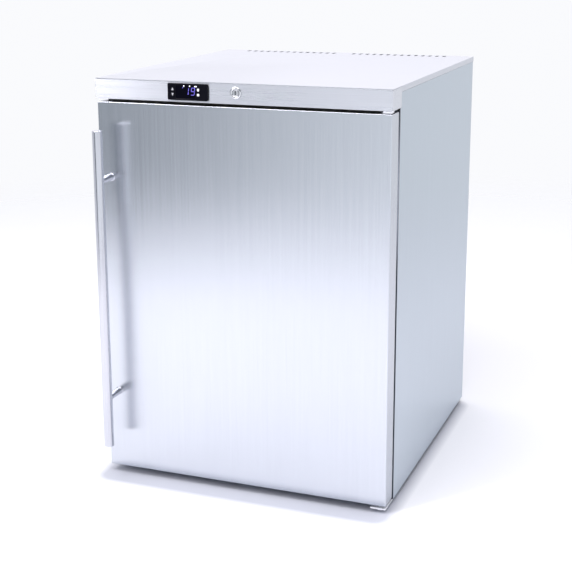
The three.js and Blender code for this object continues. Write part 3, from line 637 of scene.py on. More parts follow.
def makeGuardTree():
    # rings of one wire size at even steps, crossed by spokes, facing along Y
    inputs = {
        "Inner": "Float",
        "Outer": "Float",
        "Wire Radius": "Float",
        "Rings": "Int",
        "Spokes": "Int",
        "Centre": "Vector",
}
    graph, given = openTree("fanGuard", inputs)
    hoop = graph.node("GeometryNodeCurvePrimitiveCircle", None, {"Resolution": 56, "Radius": 1.0})
    points = graph.node("GeometryNodeMeshLine", None, {"Count": given["Rings"], "Offset": (0, 0, 0)})
    step = graph.node("GeometryNodeInputIndex")
    share = graph.maths("DIVIDE", step, given["Rings"] - 1)
    size = given["Inner"] + share * (given["Outer"] - given["Inner"])
    hoops = graph.node(
        "GeometryNodeInstanceOnPoints",
        None,
        {"Points": points, "Instance": hoop, "Scale": vector(graph, size, size, 1.0)},
)
    hoops = graph.node("GeometryNodeRealizeInstances", None, {"Geometry": hoops})
    rings = wire(graph, hoops, given["Wire Radius"], 8)
    ends = {"Start": vector(graph, x=given["Inner"] * 0.6), "End": vector(graph, x=given["Outer"])}
    spoke = wire(
        graph, graph.node("GeometryNodeCurvePrimitiveLine", None, ends), given["Wire Radius"] * 1.25, 8
)
    fan = graph.node("GeometryNodeMeshLine", None, {"Count": given["Spokes"], "Offset": (0, 0, 0)})
    angle = graph.maths("DIVIDE", graph.node("GeometryNodeInputIndex"), given["Spokes"]) * (2 * math.pi)
    turn = graph.node("FunctionNodeEulerToRotation", None, {0: vector(graph, z=angle)})
    spokes = graph.node(
        "GeometryNodeInstanceOnPoints", None, {"Points": fan, "Instance": spoke, "Rotation": turn}
)
    lying = moved(graph, joined(graph, rings, spokes), (0, 0, 0), (math.pi / 2, 0, 0))
    return closeTree(graph, moved(graph, lying, given["Centre"]), given)


def makeFinTree():
    inputs = {"Span": "Float", "Fin Size": "Vector", "Count": "Int", "Centre": "Vector"}
    graph, given = openTree("coilFins", inputs)
    fin = graph.node("GeometryNodeMeshCube", None, {"Size": given["Fin Size"]})
    start = vector(graph, x=given["Span"] * -0.5)
    stop = vector(graph, x=given["Span"] * 0.5)
    settings = {"mode": "END_POINTS", "count_mode": "TOTAL"}
    points = graph.node(
        "GeometryNodeMeshLine", settings, {"Count": given["Count"], "Start Location": start, "Offset": stop}
)
    fins = graph.node("GeometryNodeInstanceOnPoints", None, {"Points": points, "Instance": fin})
    return closeTree(graph, moved(graph, fins, given["Centre"]), given)


def makeSealTree():
    # a profile swept round a rectangle that stands in X and Z
    inputs = {"Width": "Float", "Height": "Float", "Corner": "Float", "Profile": "Object", "Centre": "Vector"}
    graph, given = openTree("doorSeal", inputs)
    size = {"Width": given["Width"], "Height": given["Height"]}
    path = graph.node("GeometryNodeCurvePrimitiveQuadrilateral", None, size)
    bend = {"Curve": path, "Count": 5, "Radius": given["Corner"], "Limit Radius": True}
    path = graph.node("GeometryNodeFilletCurve", {"mode": "POLY"}, bend)
    section = graph.node("GeometryNodeObjectInfo", None, {"Object": given["Profile"]}, "Geometry")
    section = graph.node("GeometryNodeMeshToCurve", None, {"Mesh": section})
    seal = graph.node("GeometryNodeCurveToMesh", None, {"Curve": path, "Profile Curve": section})
    upright = moved(graph, seal, (0, 0, 0), (math.pi / 2, 0, 0))
    return closeTree(graph, moved(graph, upright, given["Centre"]), given)


trees = {
    "shelf": makeShelfTree(),
    "wires": makeWireRowTree(),
    "pipe": makePipeTree(),
    "scatter": makeScatterTree(),
    "guard": makeGuardTree(),
    "fins": makeFinTree(),
    "seal": makeSealTree(),
}


def grow(name, tree, finish, values, points=(), edges=()):
    # runs a tree on the points given (mm) and keeps only its plain mesh
    mesh = bpy.data.meshes.new(name)
    mesh.from_pydata([Vector(point) * mm for point in points], edges, [])
    piece = addObject(name, mesh)
    modifier = piece.modifiers.new("shape", "NODES")
    modifier.node_group = trees[tree]
    given = {**values, "Material": paint[finish]}
    for item in trees[tree].interface.items_tree:
        if item.in_out == "INPUT" and item.name in given:
            modifier[item.identifier] = given[item.name]
    depsgraph = bpy.context.evaluated_depsgraph_get()
    made = bpy.data.meshes.new_from_object(piece.evaluated_get(depsgraph), depsgraph=depsgraph)
    piece.modifiers.clear()
    piece.data = made
    smoothBy(made, 45)
    return piece


def pipeRun(name, points, radius, bend, finish, sides=14):
    edges = [(i, i + 1) for i in range(len(points) - 1)]
    return grow(
        name, "pipe", finish, {"Radius": radius * mm, "Bend": bend * mm, "Sides": sides}, points, edges
)


print("geometry trees made:", len(trees))

casing = {"foldRadius": 1.4, "seamRadius": 0.5, "flangeRadius": 0.3}
softened("top_deck", "top_cover", "topSteel", casing["seamRadius"], 2500)
softened("side_left", "side_panel_left", "sideSteel", casing["flangeRadius"], 2500)
softened("side_right", "side_panel_right", "sideSteel", casing["flangeRadius"], 2500)
softened("fascia_fold", "control_fascia", "fasciaSteel", casing["seamRadius"], 2500)
softened("door_front", "door_skin", "doorSteel", casing["foldRadius"], 2500)
softened("rear_wall", "back_panel", "zincSheet", 0.5, 2500)
softened("machine_tray", "compressor_tray", "zincSheet", 0.5, 2500)
softened("machine_grille", "rear_grille", "zincSheet", 0.25, 20000)
print("casing made")

liner = {"doorPanRadius": 6.0, "cavityRadius": 9.0, "coverRadius": 3.0}
softened("door_pan", "door_liner", "linerPlastic", liner["doorPanRadius"], 5000, 5, 3.5)
softened("cavity_liner", "inner_liner", "linerPlastic", liner["cavityRadius"], 30000, 5)
softened("evaporator_shroud", "evaporator_cover", "linerPlastic", liner["coverRadius"], 5000, 4)
softened("condensate_tray", "drip_tray", "blackPlastic", 2.0, 1500, 3)


gasket = {"width": 27.0, "ribs": 3, "ribDepth": 0.28, "steps": 24, "corner": 4.0, "grow": 9.0, "growTop": 3.0}


def makeGasket():
    x, y, z = limits("door_gasket")
    x = (x[0] - gasket["grow"], x[1] + gasket["grow"])
    z = (z[0] - gasket["grow"], z[1] + gasket["growTop"])
    width, steps = gasket["width"], gasket["steps"]
    thickness = y[1] - y[0]
    half = thickness / 2
    profile = []
    for i in range(steps + 1):
        across = -width / 2 + width * i / steps
        dip = gasket["ribDepth"] * (0.5 - 0.5 * math.cos(2 * math.pi * gasket["ribs"] * i / steps))
        lift = math.sqrt(max(0.0, 1 - (2 * i / steps - 1) ** 8))
        profile.append((across, (half - dip) * lift + 0.02))
    underside = [(a, -half * math.sqrt(max(0.0, 1 - (2 * a / width) ** 8)) - 0.02) for a, b in profile[::-1]]
    outline = profile + underside
    mesh = bpy.data.meshes.new("sealProfile")
    count = len(outline)
    mesh.from_pydata(
        [(a * mm, b * mm, 0) for a, b in outline], [(i, (i + 1) % count) for i in range(count)], []
)
    source = addObject("sealProfile", mesh)
    values = {"Width": (x[1] - x[0] - width) * mm, "Height": (z[1] - z[0] - width) * mm}
    centre = Vector((0, sum(y) / 2, sum(z) / 2)) * mm
    values.update({"Corner": gasket["corner"] * mm, "Profile": source, "Centre": centre})
    seal = grow("door_seal", "seal", "greyRubber", values)
    bpy.data.objects.remove(source)
    return settle(seal, ["door_gasket"])


makeGasket()
print("liner made")

handle = {"endRadius": 0.9, "postFillet": 1.6}


def makeHandle():
    x, y, z = limits("handle_bar")
    centre = middle("handle_bar")
    radius = (x[1] - x[0]) / 2
    bm = bmesh.new()
    turned(bm, rounded(radius, z[0], z[1], handle["endRadius"]), (centre.x, centre.y, 0), "Z", 64)
    settle(finishMesh("handle_rod", bm, "handleSteel", 50), ["handle_bar"])
    for name in ("lower", "upper"):
        node = "handle_post_" + name
        x, y, z = limits(node)
        middlePost = middle(node)
        size = (x[1] - x[0]) / 2
        fillet = handle["postFillet"]
        angles = [a * math.pi / 12 for a in range(7)]
        foot = [(size + fillet * (1 - math.sin(a)), y[1] - fillet + fillet * math.cos(a)) for a in angles]
        profile = [(0, y[1]), *foot, (size, y[0] + 1.5), (size - 1.0, y[0]), (0, y[0])]
        bm = bmesh.new()
        turned(bm, profile, (middlePost.x, 0, middlePost.z), "Y", 40)
        settle(finishMesh("handle_stem_" + name, bm, "handleSteel", 50), [node])


makeHandle()
print("handle made")

controls = {
    "slant": 0.13,
    "digitHeight": 13.4,
    "digitWidth": 6.8,
    "digitBase": 796.9,
    "digits": (("1", -106.6), ("9", -94.0)),
    "tick": (-111.6, 811.4, -109.9, 808.9, 0.8),
    "lamps": ((-108.2, 813.6, 2.5, 2.5), (-96.2, 813.6, 2.5, 2.5), (-84.0, 813.2, 5.6, 1.9)),
    "stroke": 0.95,
    "digitProud": 0.06,
    "lampProud": 0.25,
    "markProud": 0.08,
    "capWidth": 5.6,
}


def roundedOutline(cx, cz, width, height, corner, steps=4):
    points = []
    for sx, sz, start in ((1, 1, 0), (-1, 1, 90), (-1, -1, 180), (1, -1, 270)):
        for i in range(steps + 1):
            angle = math.radians(start + 90 * i / steps)
            x = cx + sx * (width / 2 - corner) + corner * math.cos(angle)
            points.append((x, cz + sz * (height / 2 - corner) + corner * math.sin(angle)))
    return points


def makeControls():
    x, y, z = limits("controller_bezel")
    softened("bezel", "controller_bezel", "bezelPlastic", 0.35, 20, 2)
    softened("display_window", "display_lens", "windowGloss", 0.3, 20, 2)
    softened("controller_case", "controller_body", "blackPlastic", 0.8, 200, 2)
    bm = bmesh.new()
    capWidth = controls["capWidth"]
    outline = roundedOutline(x[1] - capWidth / 2 - 0.1, (z[0] + z[1]) / 2, capWidth, z[1] - z[0] - 0.4, 1.6)
    plate(bm, outline, y[0] - 0.35, y[0] + 1.0)
    cap = finishMesh("bezel_end_cap", bm, "bezelPlastic", 40, 0.25)
    settle(cap, body="cabinet")
    for node in ("key_up", "key_down", "key_set", "key_power"):
        kx, ky, kz = limits(node)
        centre = middle(node)
        radius = (kx[1] - kx[0]) / 2
        bm = bmesh.new()
        crown = rounded(radius, ky[0], ky[1], 0.5, 4)
        turned(bm, crown, (centre.x, 0, centre.z), "Y", 32)
        settle(finishMesh(node + "_cap", bm, "keyPlastic", 50), [node])


makeControls()


ventShade = {"halfWidth": 274, "depth": 36, "setIn": 5, "sheet": 0.8, "bottom": 812.6, "top": 820.2}


def makeVentShadeSheet():
    # a black channel under the slots of the top, a dark sheet that stands in for the shade seen down through
    # the slots
    back = limits("top_cover")[1][1] - ventShade["setIn"]
    front = limits("top_cover")[1][1] - ventShade["depth"]
    width = (-ventShade["halfWidth"], ventShade["halfWidth"])
    bottom, sheet = ventShade["bottom"], ventShade["sheet"]
    bm = bmesh.new()
    block(bm, width, (front, back), (bottom, bottom + sheet))
    block(bm, width, (back, back + sheet), (bottom, ventShade["top"]))
    settle(finishMesh("vent_baffle", bm, "blackEnamel", 35, 0.2), body="cabinet")


makeVentShadeSheet()


def segmentOutline(ax, az, bx, bz, stroke):
    # a pointed bar from one joint to the next, short of both
    a, b = Vector((ax, az)), Vector((bx, bz))
    along = (b - a).normalized()
    side = Vector((-along.y, along.x)) * stroke / 2
    a, b = a + along * stroke * 0.3, b - along * stroke * 0.3
    tip = along * stroke / 2
    return [a, a + tip - side, b - tip - side, b, b - tip + side, a + tip + side]


def makeDisplay():
    height, width, base = controls["digitHeight"], controls["digitWidth"], controls["digitBase"]
    face = limits("display_lens")[1][0]
    digitFront = face - controls["digitProud"]
    joints = {"tl": (0, 1), "tr": (1, 1), "ml": (0, 0.5), "mr": (1, 0.5), "bl": (0, 0), "br": (1, 0)}
    shapes = {"1": ["tr mr", "mr br"], "9": ["tl tr", "tl ml", "tr mr", "ml mr", "mr br", "bl br"]}
    bm = bmesh.new()
    for digit, left in controls["digits"]:
        for pair in shapes[digit]:
            ends = [joints[name] for name in pair.split()]
            places = [(left + u * width + v * height * controls["slant"], base + v * height) for u, v in ends]
            outline = segmentOutline(*places[0], *places[1], controls["stroke"])
            plate(bm, outline, digitFront, face + 0.1)
    plate(bm, segmentOutline(*controls["tick"]), digitFront, face + 0.1)
    settle(finishMesh("display_digits", bm, "digitGlow"), body="cabinet")
    bm = bmesh.new()
    for cx, cz, width, height in controls["lamps"]:
        outline = roundedOutline(cx, cz, width, height, min(width, height) / 2 - 0.05)
        plate(bm, outline, face - controls["lampProud"], face + 0.1)
    settle(finishMesh("display_lamps", bm, "lampGlow"), body="cabinet")


makeDisplay()


def makeKeyMarks():
    # arrows on the left pair of keys, plain round marks on the right pair
    for node, direction in (("key_up", 1), ("key_down", -1)):
        centre = middle(node)
        face = limits(node)[1][0]
        bm = bmesh.new()
        arrow = [(-2.3, -2.0), (2.3, -2.0), (0.35, 2.8), (-0.35, 2.8)]
        plate(
            bm,
            [(centre.x + u, centre.z + v * direction) for u, v in arrow][::direction],
            face - controls["markProud"],
            face + 0.05,
)
        settle(finishMesh(node + "_mark", bm, "greyPrint"), body=bodyOf[node])
    for node, size in (("key_set", (4.2, 5.6)), ("key_power", (4.8, 4.8))):
        centre = middle(node)
        face = limits(node)[1][0]
        bm = bmesh.new()
        plate(bm, roundedOutline(centre.x, centre.z, *size, 1.9), face - controls["markProud"], face + 0.05)
        settle(finishMesh(node + "_mark", bm, "whitePrint"), body=bodyOf[node])


makeKeyMarks()


lockLook = {"bore": 6.6, "sleeve": 9, "coreRim": (4.1, 5.7), "coreRimProud": 0.25}


def makeLock():
    x, y, z = limits("lock_housing")
    centre = middle("lock_housing")
    radius = (x[1] - x[0]) / 2
    bore, sleeve = lockLook["bore"], lockLook["sleeve"]
    lip = [(bore, 1.2), (bore + 0.5, 0.5), (bore + 1.3, 0.15), (radius - 2.2, 0), (radius - 0.9, 0.35)]
    lip += [(radius - 0.2, 1.1), (radius, 2.0), (sleeve, 2.05)]
    rim = [(bore, y[1]), *((r, y[0] + depth) for r, depth in lip), (sleeve, y[1]), (bore, y[1])]
    bm = bmesh.new()
    turned(bm, rim, (centre.x, 0, centre.z), "Y", 64)
    bmesh.ops.remove_doubles(bm, verts=bm.verts, dist=0.001 * mm)
    settle(finishMesh("lock_ring", bm, "polishedSteel", 40), ["lock_housing"])
    softened("lock_core", "lock_barrel", "polishedSteel", 0.25, 2, 2)
    softened("lock_tongue", "lock_cam", "zincSheet", 0.3, 20, 2)
    bm = bmesh.new()
    face = limits("lock_barrel")[1][0]
    inner, outer = lockLook["coreRim"]
    proud = face - lockLook["coreRimProud"]
    groove = [
        (inner + 0.3, proud),
        (outer - 0.3, proud),
        (outer, face + 0.1),
        (inner, face + 0.1),
        (inner + 0.3, proud),
]
    turned(bm, groove, (centre.x, 0, centre.z), "Y", 48)
    bmesh.ops.remove_doubles(bm, verts=bm.verts, dist=0.001 * mm)
    settle(finishMesh("lock_core_rim", bm, "zincScrew", 40), body="lock")


makeLock()
print("controls made")

hinges = {
    "leafDepth": 13.0,
    "leafLeft": 279.0,
    "leafBack": 22.0,
    "leafCorner": 6.0,
    "leafThickness": 3.8,
    "notchTo": 289.0,
    "nutAcross": 7.2,
}


def makeHinges():
    # the leaf stands out at the pin and is notched back from the side behind it
    x, y, z = limits("hinge_bracket_top")
    front, left, notch, corner = y[0], hinges["leafLeft"], hinges["notchTo"], hinges["leafCorner"]
    leafEnd, leafBack = front + hinges["leafDepth"], front + hinges["leafBack"]
    plan = [(x[1], front), (x[1], leafEnd), (notch, leafEnd + 3), (notch, y[1] - 3)]
    plan += [(x[0], y[1] - 3), (x[0], leafBack), (left, leafBack)]
    angles = [a * math.pi / 12 for a in range(7)]
    plan += [(left + corner - corner * math.cos(a), front + corner - corner * math.sin(a)) for a in angles]
    thick = hinges["leafThickness"]
    bm = bmesh.new()
    low = [bm.verts.new((a * mm, b * mm, z[0] * mm)) for a, b in plan]
    high = [bm.verts.new((a * mm, b * mm, (z[0] + thick) * mm)) for a, b in plan]
    bm.faces.new(low)
    bm.faces.new(high[::-1])
    for i in range(len(plan)):
        j = (i + 1) % len(plan)
        bm.faces.new((low[i], low[j], high[j], high[i]))
    block(bm, (x[0], notch), (y[1] - 3.05, y[1]), z)
    settle(finishMesh("hinge_plate_top", bm, "brightZinc", 35, 0.5), ["hinge_bracket_top"])
    softened("hinge_plate_bottom", "hinge_bracket_bottom", "brightZinc", 0.6, 60, 2)
    pin = middle("hinge_pin_bottom")
    under = limits("hinge_bracket_bottom")[2][0]
    across = hinges["nutAcross"]
    nut = [(0, 3.0), (4.0, 3.0), (4.4, 3.5), (across - 0.6, 3.5), (across, 4.0), (across, under - 0.9)]
    nut += [(across - 0.5, under - 0.5), (9.0, under - 0.4), (9.0, under), (0, under)]
    bm = bmesh.new()
    turned(bm, nut, (pin.x, pin.y, 0), "Z", 6)
    settle(finishMesh("lower_hinge_nut", bm, "brightZinc", 30), body="cabinet")


makeHinges()
for node in (
    "shelf_strip_front_left", "shelf_strip_rear_left", "shelf_strip_front_right", "shelf_strip_rear_right"
):
    softened(node.replace("shelf_strip", "support_strip"), node, "polishedSteel", 0.35, 20, 2)
softened("inlet_socket", "power_inlet", "blackPlastic", 0.5, 30, 2)
softened("terminal_box", "terminal_cover", "blackPlastic", 2.2, 500, 3)

shelfLook = {"wires": 31, "bars": 3, "wireRadius": 1.35, "rimRadius": 2.4}


def makeShelves():
    for name in ("lower", "middle", "upper"):
        node = "shelf_" + name
        x, y, z = limits(node)
        rim = shelfLook["rimRadius"]
        centre = Vector(((x[0] + x[1]) / 2, (y[0] + y[1]) / 2, z[0] + rim)) * mm
        values = {"Width": (x[1] - x[0] - 2 * rim) * mm, "Depth": (y[1] - y[0] - 2 * rim) * mm}
        values.update({"Wire Radius": shelfLook["wireRadius"] * mm, "Rim Radius": rim * mm})
        values.update({"Wires": shelfLook["wires"], "Bars": shelfLook["bars"], "Centre": centre})
        settle(grow("wire_shelf_" + name, "shelf", "shelfCoat", values), [node])


makeShelves()
fanLook = {
    "height": 655.0,
    "guardRings": 5,
    "guardSpokes": 6,
    "guardWire": 1.1,
    "guardInner": 16,
    "blades": 5,
    "bladeRoot": 14,
    "bladeReach": 48.5,
    "bladeSteps": 6,
    "bladePitch": 0.62,
    "bladeTwist": 0.55,
    "bladeHalfDepth": 6.4,
}


def makeFan():
    x, y, z = limits("fan_guard")
    centre = Vector(((x[0] + x[1]) / 2, (y[0] + y[1]) / 2, (z[0] + z[1]) / 2))
    outer = (x[1] - x[0]) / 2 - fanLook["guardWire"]
    values = {
        "Inner": fanLook["guardInner"] * mm, "Outer": outer * mm, "Wire Radius": fanLook["guardWire"] * mm
}
    values.update({"Rings": fanLook["guardRings"], "Spokes": fanLook["guardSpokes"], "Centre": centre * mm})
    settle(grow("fan_grille", "guard", "blackPlastic", values), ["fan_guard"])
    x, y, z = limits("fan_rotor")
    centre = Vector((0, (y[0] + y[1]) / 2, fanLook["height"]))
    bm = bmesh.new()
    turned(bm, rounded(17, y[0] + 1.0, y[1] - 1.0, 2.5), (centre.x, 0, centre.z), "Y", 40)
    root, reach, steps = fanLook["bladeRoot"], fanLook["bladeReach"], fanLook["bladeSteps"]
    deepest = fanLook["bladeHalfDepth"]
    for blade in range(fanLook["blades"]):
        spin = Matrix.Rotation(blade * 2 * math.pi / fanLook["blades"], 3, "Y")
        rows = []
        for i in range(steps + 1):
            share = i / steps
            radius = root + (reach - root) * share
            pitch = fanLook["bladePitch"] - fanLook["bladeTwist"] * 0.5 * share
            chord = 11 + 4 * share
            row = []
            for side in (-1, 1):
                for j in range(5):
                    across = (j - 2) / 2 * chord
                    camber = 1.2 * (1 - ((j - 2) / 2) ** 2)
                    depth = across * math.sin(pitch) + camber + side * 0.55
                    local = Vector((radius, max(-deepest, min(deepest, depth)), across * math.cos(pitch)))
                    row.append(bm.verts.new((centre + spin @ local) * mm))
            rows.append(row[:5] + row[5:][::-1])
        for low, high in zip(rows, rows[1:]):
            for i in range(10):
                j = (i + 1) % 10
                bm.faces.new((low[i], low[j], high[j], high[i]))
        bm.faces.new(rows[0][::-1])
        bm.faces.new(rows[-1])
    settle(finishMesh("fan_wheel", bm, "blackPlastic", 45), ["fan_rotor"])
    x, y, z = limits("fan_motor")
    bm = bmesh.new()
    turned(bm, rounded(19, y[0], y[1], 3), (0, 0, fanLook["height"]), "Y", 40)
    settle(finishMesh("fan_drive", bm, "blackPlastic", 45), ["fan_motor"])


makeFan()
coilLook = {"fins": 86, "finThickness": 0.35, "rows": 5, "rowInset": 16, "tubeRadius": 3.2, "tubeBend": 9}


def makeEvaporator():
    x, y, z = limits("evaporator_coil")
    centre = middle("evaporator_coil")
    size = (coilLook["finThickness"] * mm, (y[1] - y[0]) * mm, (z[1] - z[0]) * mm)
    values = {
        "Span": (x[1] - x[0] - 22) * mm, "Fin Size": size, "Count": coilLook["fins"], "Centre": centre * mm
}
    fins = grow("evaporator_fins", "fins", "finMetal", values)
    settle(fins, ["evaporator_coil"])
    points = []
    rows, inset = coilLook["rows"], coilLook["rowInset"]
    for i in range(rows):
        height = z[0] + inset + (z[1] - z[0] - 2 * inset) * i / (rows - 1)
        side = 1 if i % 2 else -1
        points += [(-side * (x[1] - 4), centre.y, height), (side * (x[1] - 4), centre.y, height)]
    tube = pipeRun("evaporator_tube", points, coilLook["tubeRadius"], coilLook["tubeBend"], "finMetal")
    settle(tube, body="cabinet")


makeEvaporator()


def makeProbe():
    x, y, z = limits("temperature_probe")
    centre = middle("temperature_probe")
    radius = (x[1] - x[0]) / 2
    bm = bmesh.new()
    turned(bm, rounded(radius, z[0], z[1], radius * 0.8), (centre.x, centre.y, 0), "Z", 24)
    settle(finishMesh("probe_tip", bm, "greyRubber", 50), ["temperature_probe"])
    lead = [
        (centre.x, centre.y, z[1] - 2),
        (centre.x, centre.y, 700),
        (centre.x, centre.y + 20, 728),
        (centre.x, 246, 728),
]
    settle(pipeRun("probe_lead", lead, 1.3, 10, "greyRubber", 8), body="cabinet")


makeProbe()
print("inside made")

machine = {
    "grommetRadius": 11.0,
    "condenserPasses": 12,
    "condenserTube": 2.6,
    "condenserWires": 66,
    "condenserWireRadius": 0.8,
    "wireLayerStep": 7.0,
    "suctionRadius": 4.0,
    "capillaryTurns": 4,
    "capillaryCoil": 17,
}


def makeCompressor():
    x, y, z = limits("compressor")
    centre = Vector((x[0] + 105, y[0] + 71, 0))
    shell = [(0, 36), (30, 37), (50, 44), (61, 56), (65, 72), (65.5, 108), (65.5, 112), (70, 113), (71, 115)]
    shell += [
        (71, 117), (70, 119), (65.5, 120), (65.5, 146), (63, 164), (56, 179), (42, 190), (22, 195), (0, 196)
]
    bm = bmesh.new()
    turned(bm, shell, (centre.x, centre.y, 0), "Z", 56, (1.28, 1))
    plateTop = 33.5
    block(bm, (x[0], x[1]), (centre.y - 62, centre.y + 62), (z[0], plateTop))
    block(bm, (centre.x - 40, centre.x + 40), (centre.y - 34, centre.y + 34), (plateTop - 1, 48))
    piece = finishMesh("compressor_shell", bm, "blackEnamel", 35, 1.0)
    settle(piece, ["compressor"])
    radius = machine["grommetRadius"]
    waist = radius - 3
    grommet = [(0, 12.6), (radius - 1, 12.6), (radius, 14), (radius, 18), (waist, 20), (waist, 25)]
    grommet += [(radius, 27), (radius - 0.6, 29.6), (0, 29.6)]
    washer = [(0, 33.6), (9, 33.6), (9, 35), (6.5, 35.1), (6.5, 35.2), (0, 35.2)]
    nut = [
        (0, 35.0),
        (6.2, 35.0),
        (6.6, 35.6),
        (6.6, 39.4),
        (6.0, 40),
        (3.1, 40),
        (3.1, 43),
        (2.6, 43.6),
        (0, 43.6),
]
    rubber, metal = bmesh.new(), bmesh.new()
    for spot in [(centre.x + sx * 88, centre.y + sy * 48, 0) for sx in (-1, 1) for sy in (-1, 1)]:
        turned(rubber, grommet, spot, "Z", 28)
        turned(metal, washer, spot, "Z", 28)
        turned(metal, nut, spot, "Z", 6)
    settle(finishMesh("compressor_grommets", rubber, "greyRubber", 40), body="cabinet")
    settle(finishMesh("grommet_nuts", metal, "zincScrew", 30), body="cabinet")
    return centre


compressorCentre = makeCompressor()


def makePiping():
    x, y, z = limits("condenser_coil")
    coilY = middle("condenser_coil").y
    passes, tube = machine["condenserPasses"], machine["condenserTube"]
    top, bottom = z[1] - tube, z[0] + tube
    reach = x[1] - tube
    points = []
    for i in range(passes):
        level = top - (top - bottom) * i / (passes - 1)
        side = -1 if i % 2 else 1
        points += [(side * reach, coilY, level), (-side * reach, coilY, level)]
    settle(pipeRun("condenser_pipe", points, tube, 23, "blackEnamel", 12), ["condenser_coil"])
    x, y, z = limits("condenser_wires")
    wireRadius = machine["condenserWireRadius"]
    values = {"Span": (x[1] - x[0] - 8) * mm, "Length": (z[1] - z[0]) * mm, "Radius": wireRadius * mm}
    values["Count"] = machine["condenserWires"]
    near = Vector((0, y[1] - wireRadius, (z[0] + z[1]) / 2)) * mm
    settle(
        grow("condenser_wires_front", "wires", "blackEnamel", {**values, "Centre": near}), ["condenser_wires"]
)
    far = near + Vector((0, machine["wireLayerStep"] * mm, 0))
    rear = grow("condenser_wires_rear", "wires", "blackEnamel", {**values, "Centre": far})
    settle(rear, body="cabinet")
    start = Vector((compressorCentre.x + 70, compressorCentre.y + 56, 100))
    route = [
        start,
        (150, start.y, 100),
        (150, coilY, 100),
        (258, coilY, 100),
        (258, coilY, top + 1.5),
        (reach, coilY, top),
]
    settle(pipeRun("discharge_pipe", route, 3.0, 14, "copperTube"), ["discharge_line"])
    x, y, z = limits("filter_drier")
    centre = middle("filter_drier")
    radius = (x[1] - x[0]) / 2
    body = [(0, z[0]), (3.2, z[0]), (3.4, z[0] + 4), (radius - 2, z[0] + 10), (radius, z[0] + 14)]
    body += [(radius, z[1] - 14), (radius - 2, z[1] - 10), (3.4, z[1] - 4), (3.2, z[1]), (0, z[1])]
    bm = bmesh.new()
    turned(bm, body, (centre.x, centre.y, 0), "Z", 32)
    settle(finishMesh("drier_body", bm, "copperTube", 40), ["filter_drier"])
    link = [
        (centre.x, centre.y, z[1] - 3),
        (centre.x, centre.y, bottom - 12),
        (centre.x + 4, centre.y, bottom - 4),
        (-reach + 24, coilY, bottom),
]
    settle(pipeRun("drier_inlet_pipe", link, 2.4, 8, "copperTube", 10), body="cabinet")
    capillary = [(centre.x, centre.y, z[0] + 3), (centre.x, centre.y, 96), (centre.x + 26, centre.y - 12, 84)]
    coil = machine["capillaryCoil"]
    for i in range(machine["capillaryTurns"] * 12):
        angle = 2 * math.pi * i / 12
        capillary.append(
            (-196 + coil * math.cos(angle), centre.y - 30 + coil * math.sin(angle), 84 + i * 0.34)
)
    capillary += [(-178, centre.y - 40, 110), (-178, 206, 150), (-178, 146, 190), (-178, 146, 226)]
    settle(pipeRun("capillary_line", capillary, 1.1, 3, "copperTube", 8), body="cabinet")
    suction = [(compressorCentre.x - 72, compressorCentre.y - 40, 120), (-160, compressorCentre.y - 40, 120)]
    suction += [(-160, 152, 120), (-160, 152, 228)]
    settle(
        pipeRun("suction_line", suction, machine["suctionRadius"], 13, "copperTube"),
        body="cabinet",
)
    x, y, z = limits("drain_tube")
    centre = middle("drain_tube")
    bm = bmesh.new()
    ribs = [(4.0, z[1])]
    ribs += [(6.0 - 0.5 * (i % 2), z[1] - (z[1] - z[0]) * i / 24) for i in range(25)]
    ribs += [(4.0, z[0]), (4.0, z[1])]
    turned(bm, ribs, (centre.x, centre.y, 0), "Z", 28)
    bmesh.ops.remove_doubles(bm, verts=bm.verts, dist=0.001 * mm)
    settle(finishMesh("drain_hose", bm, "greyRubber", 60), ["drain_tube"])


makePiping()


def makeWiring():
    start = middle("terminal_cover")
    inlet = middle("power_inlet")
    back = limits("power_inlet")[1][0]
    route = [
        (start.x + 14, start.y + 10, 100),
        (90, start.y + 10, 60),
        (120, 300, 36),
        (inlet.x, 300, 40),
        (inlet.x, back - 14, inlet.z - 6),
        (inlet.x, back + 2, inlet.z),
]
    settle(pipeRun("mains_wiring", route, 3.4, 16, "blackPlastic", 12), body="cabinet")
    x, y, z = limits("controller_body")
    route = [
        (x[1] - 12, y[1] - 2, 806),
        (x[1] - 12, y[1] + 6, 806),
        (x[1] + 22, y[1] + 6, 806),
        (250, y[1] + 6, 806),
]
    settle(
        pipeRun("controller_wiring", route, 2.6, 8, "blackPlastic", 10), body="cabinet"
)


makeWiring()
print("refrigeration made")

feet = {"pad": 16.0, "stud": 4.5, "threadDepth": 0.45, "threadSteps": 24}


def makeFoot(name):
    node = "foot_" + name
    spot = middle(node)
    centre = (spot.x, spot.y, 0)
    pad, stud, steps = feet["pad"], feet["stud"], feet["threadSteps"]
    base = [
        (0, 0),
        (pad - 1.4, 0),
        (pad - 0.3, 0.5),
        (pad, 1.6),
        (pad, 4.6),
        (pad - 1, 5.6),
        (pad - 4.5, 6.9),
        (0, 7),
]
    nut = [(0, 6.9), (7.6, 6.9), (8.2, 7.4), (8.2, 9.8), (7.6, 10.3), (0, 10.35)]
    thread = [(stud - feet["threadDepth"] * (i % 2), 10.4 + 22 * i / steps) for i in range(steps + 1)]
    bm = bmesh.new()
    turned(bm, base, centre, "Z", 48)
    turned(bm, nut, centre, "Z", 6)
    turned(bm, [(0, 10.3), *thread, (stud - 1.2, 33.6), (0, 34)], centre, "Z", 28)
    settle(finishMesh("levelling_foot_" + name, bm, "footPlastic", 35), [node])


for name in ("front_left", "front_right", "rear_left", "rear_right"):
    makeFoot(name)

for old, new, finish in (
    ("door_bush", "pivot_bush", "linerPlastic"), ("hinge_pin", "pivot_pin", "zincSheet")
):
    for end in ("_top", "_bottom"):
        softened(new + end, old + end, finish, 0.25, 8, 2)

screwLook = {"headRadius": 3.6, "headHeight": 1.6, "sides": 16}


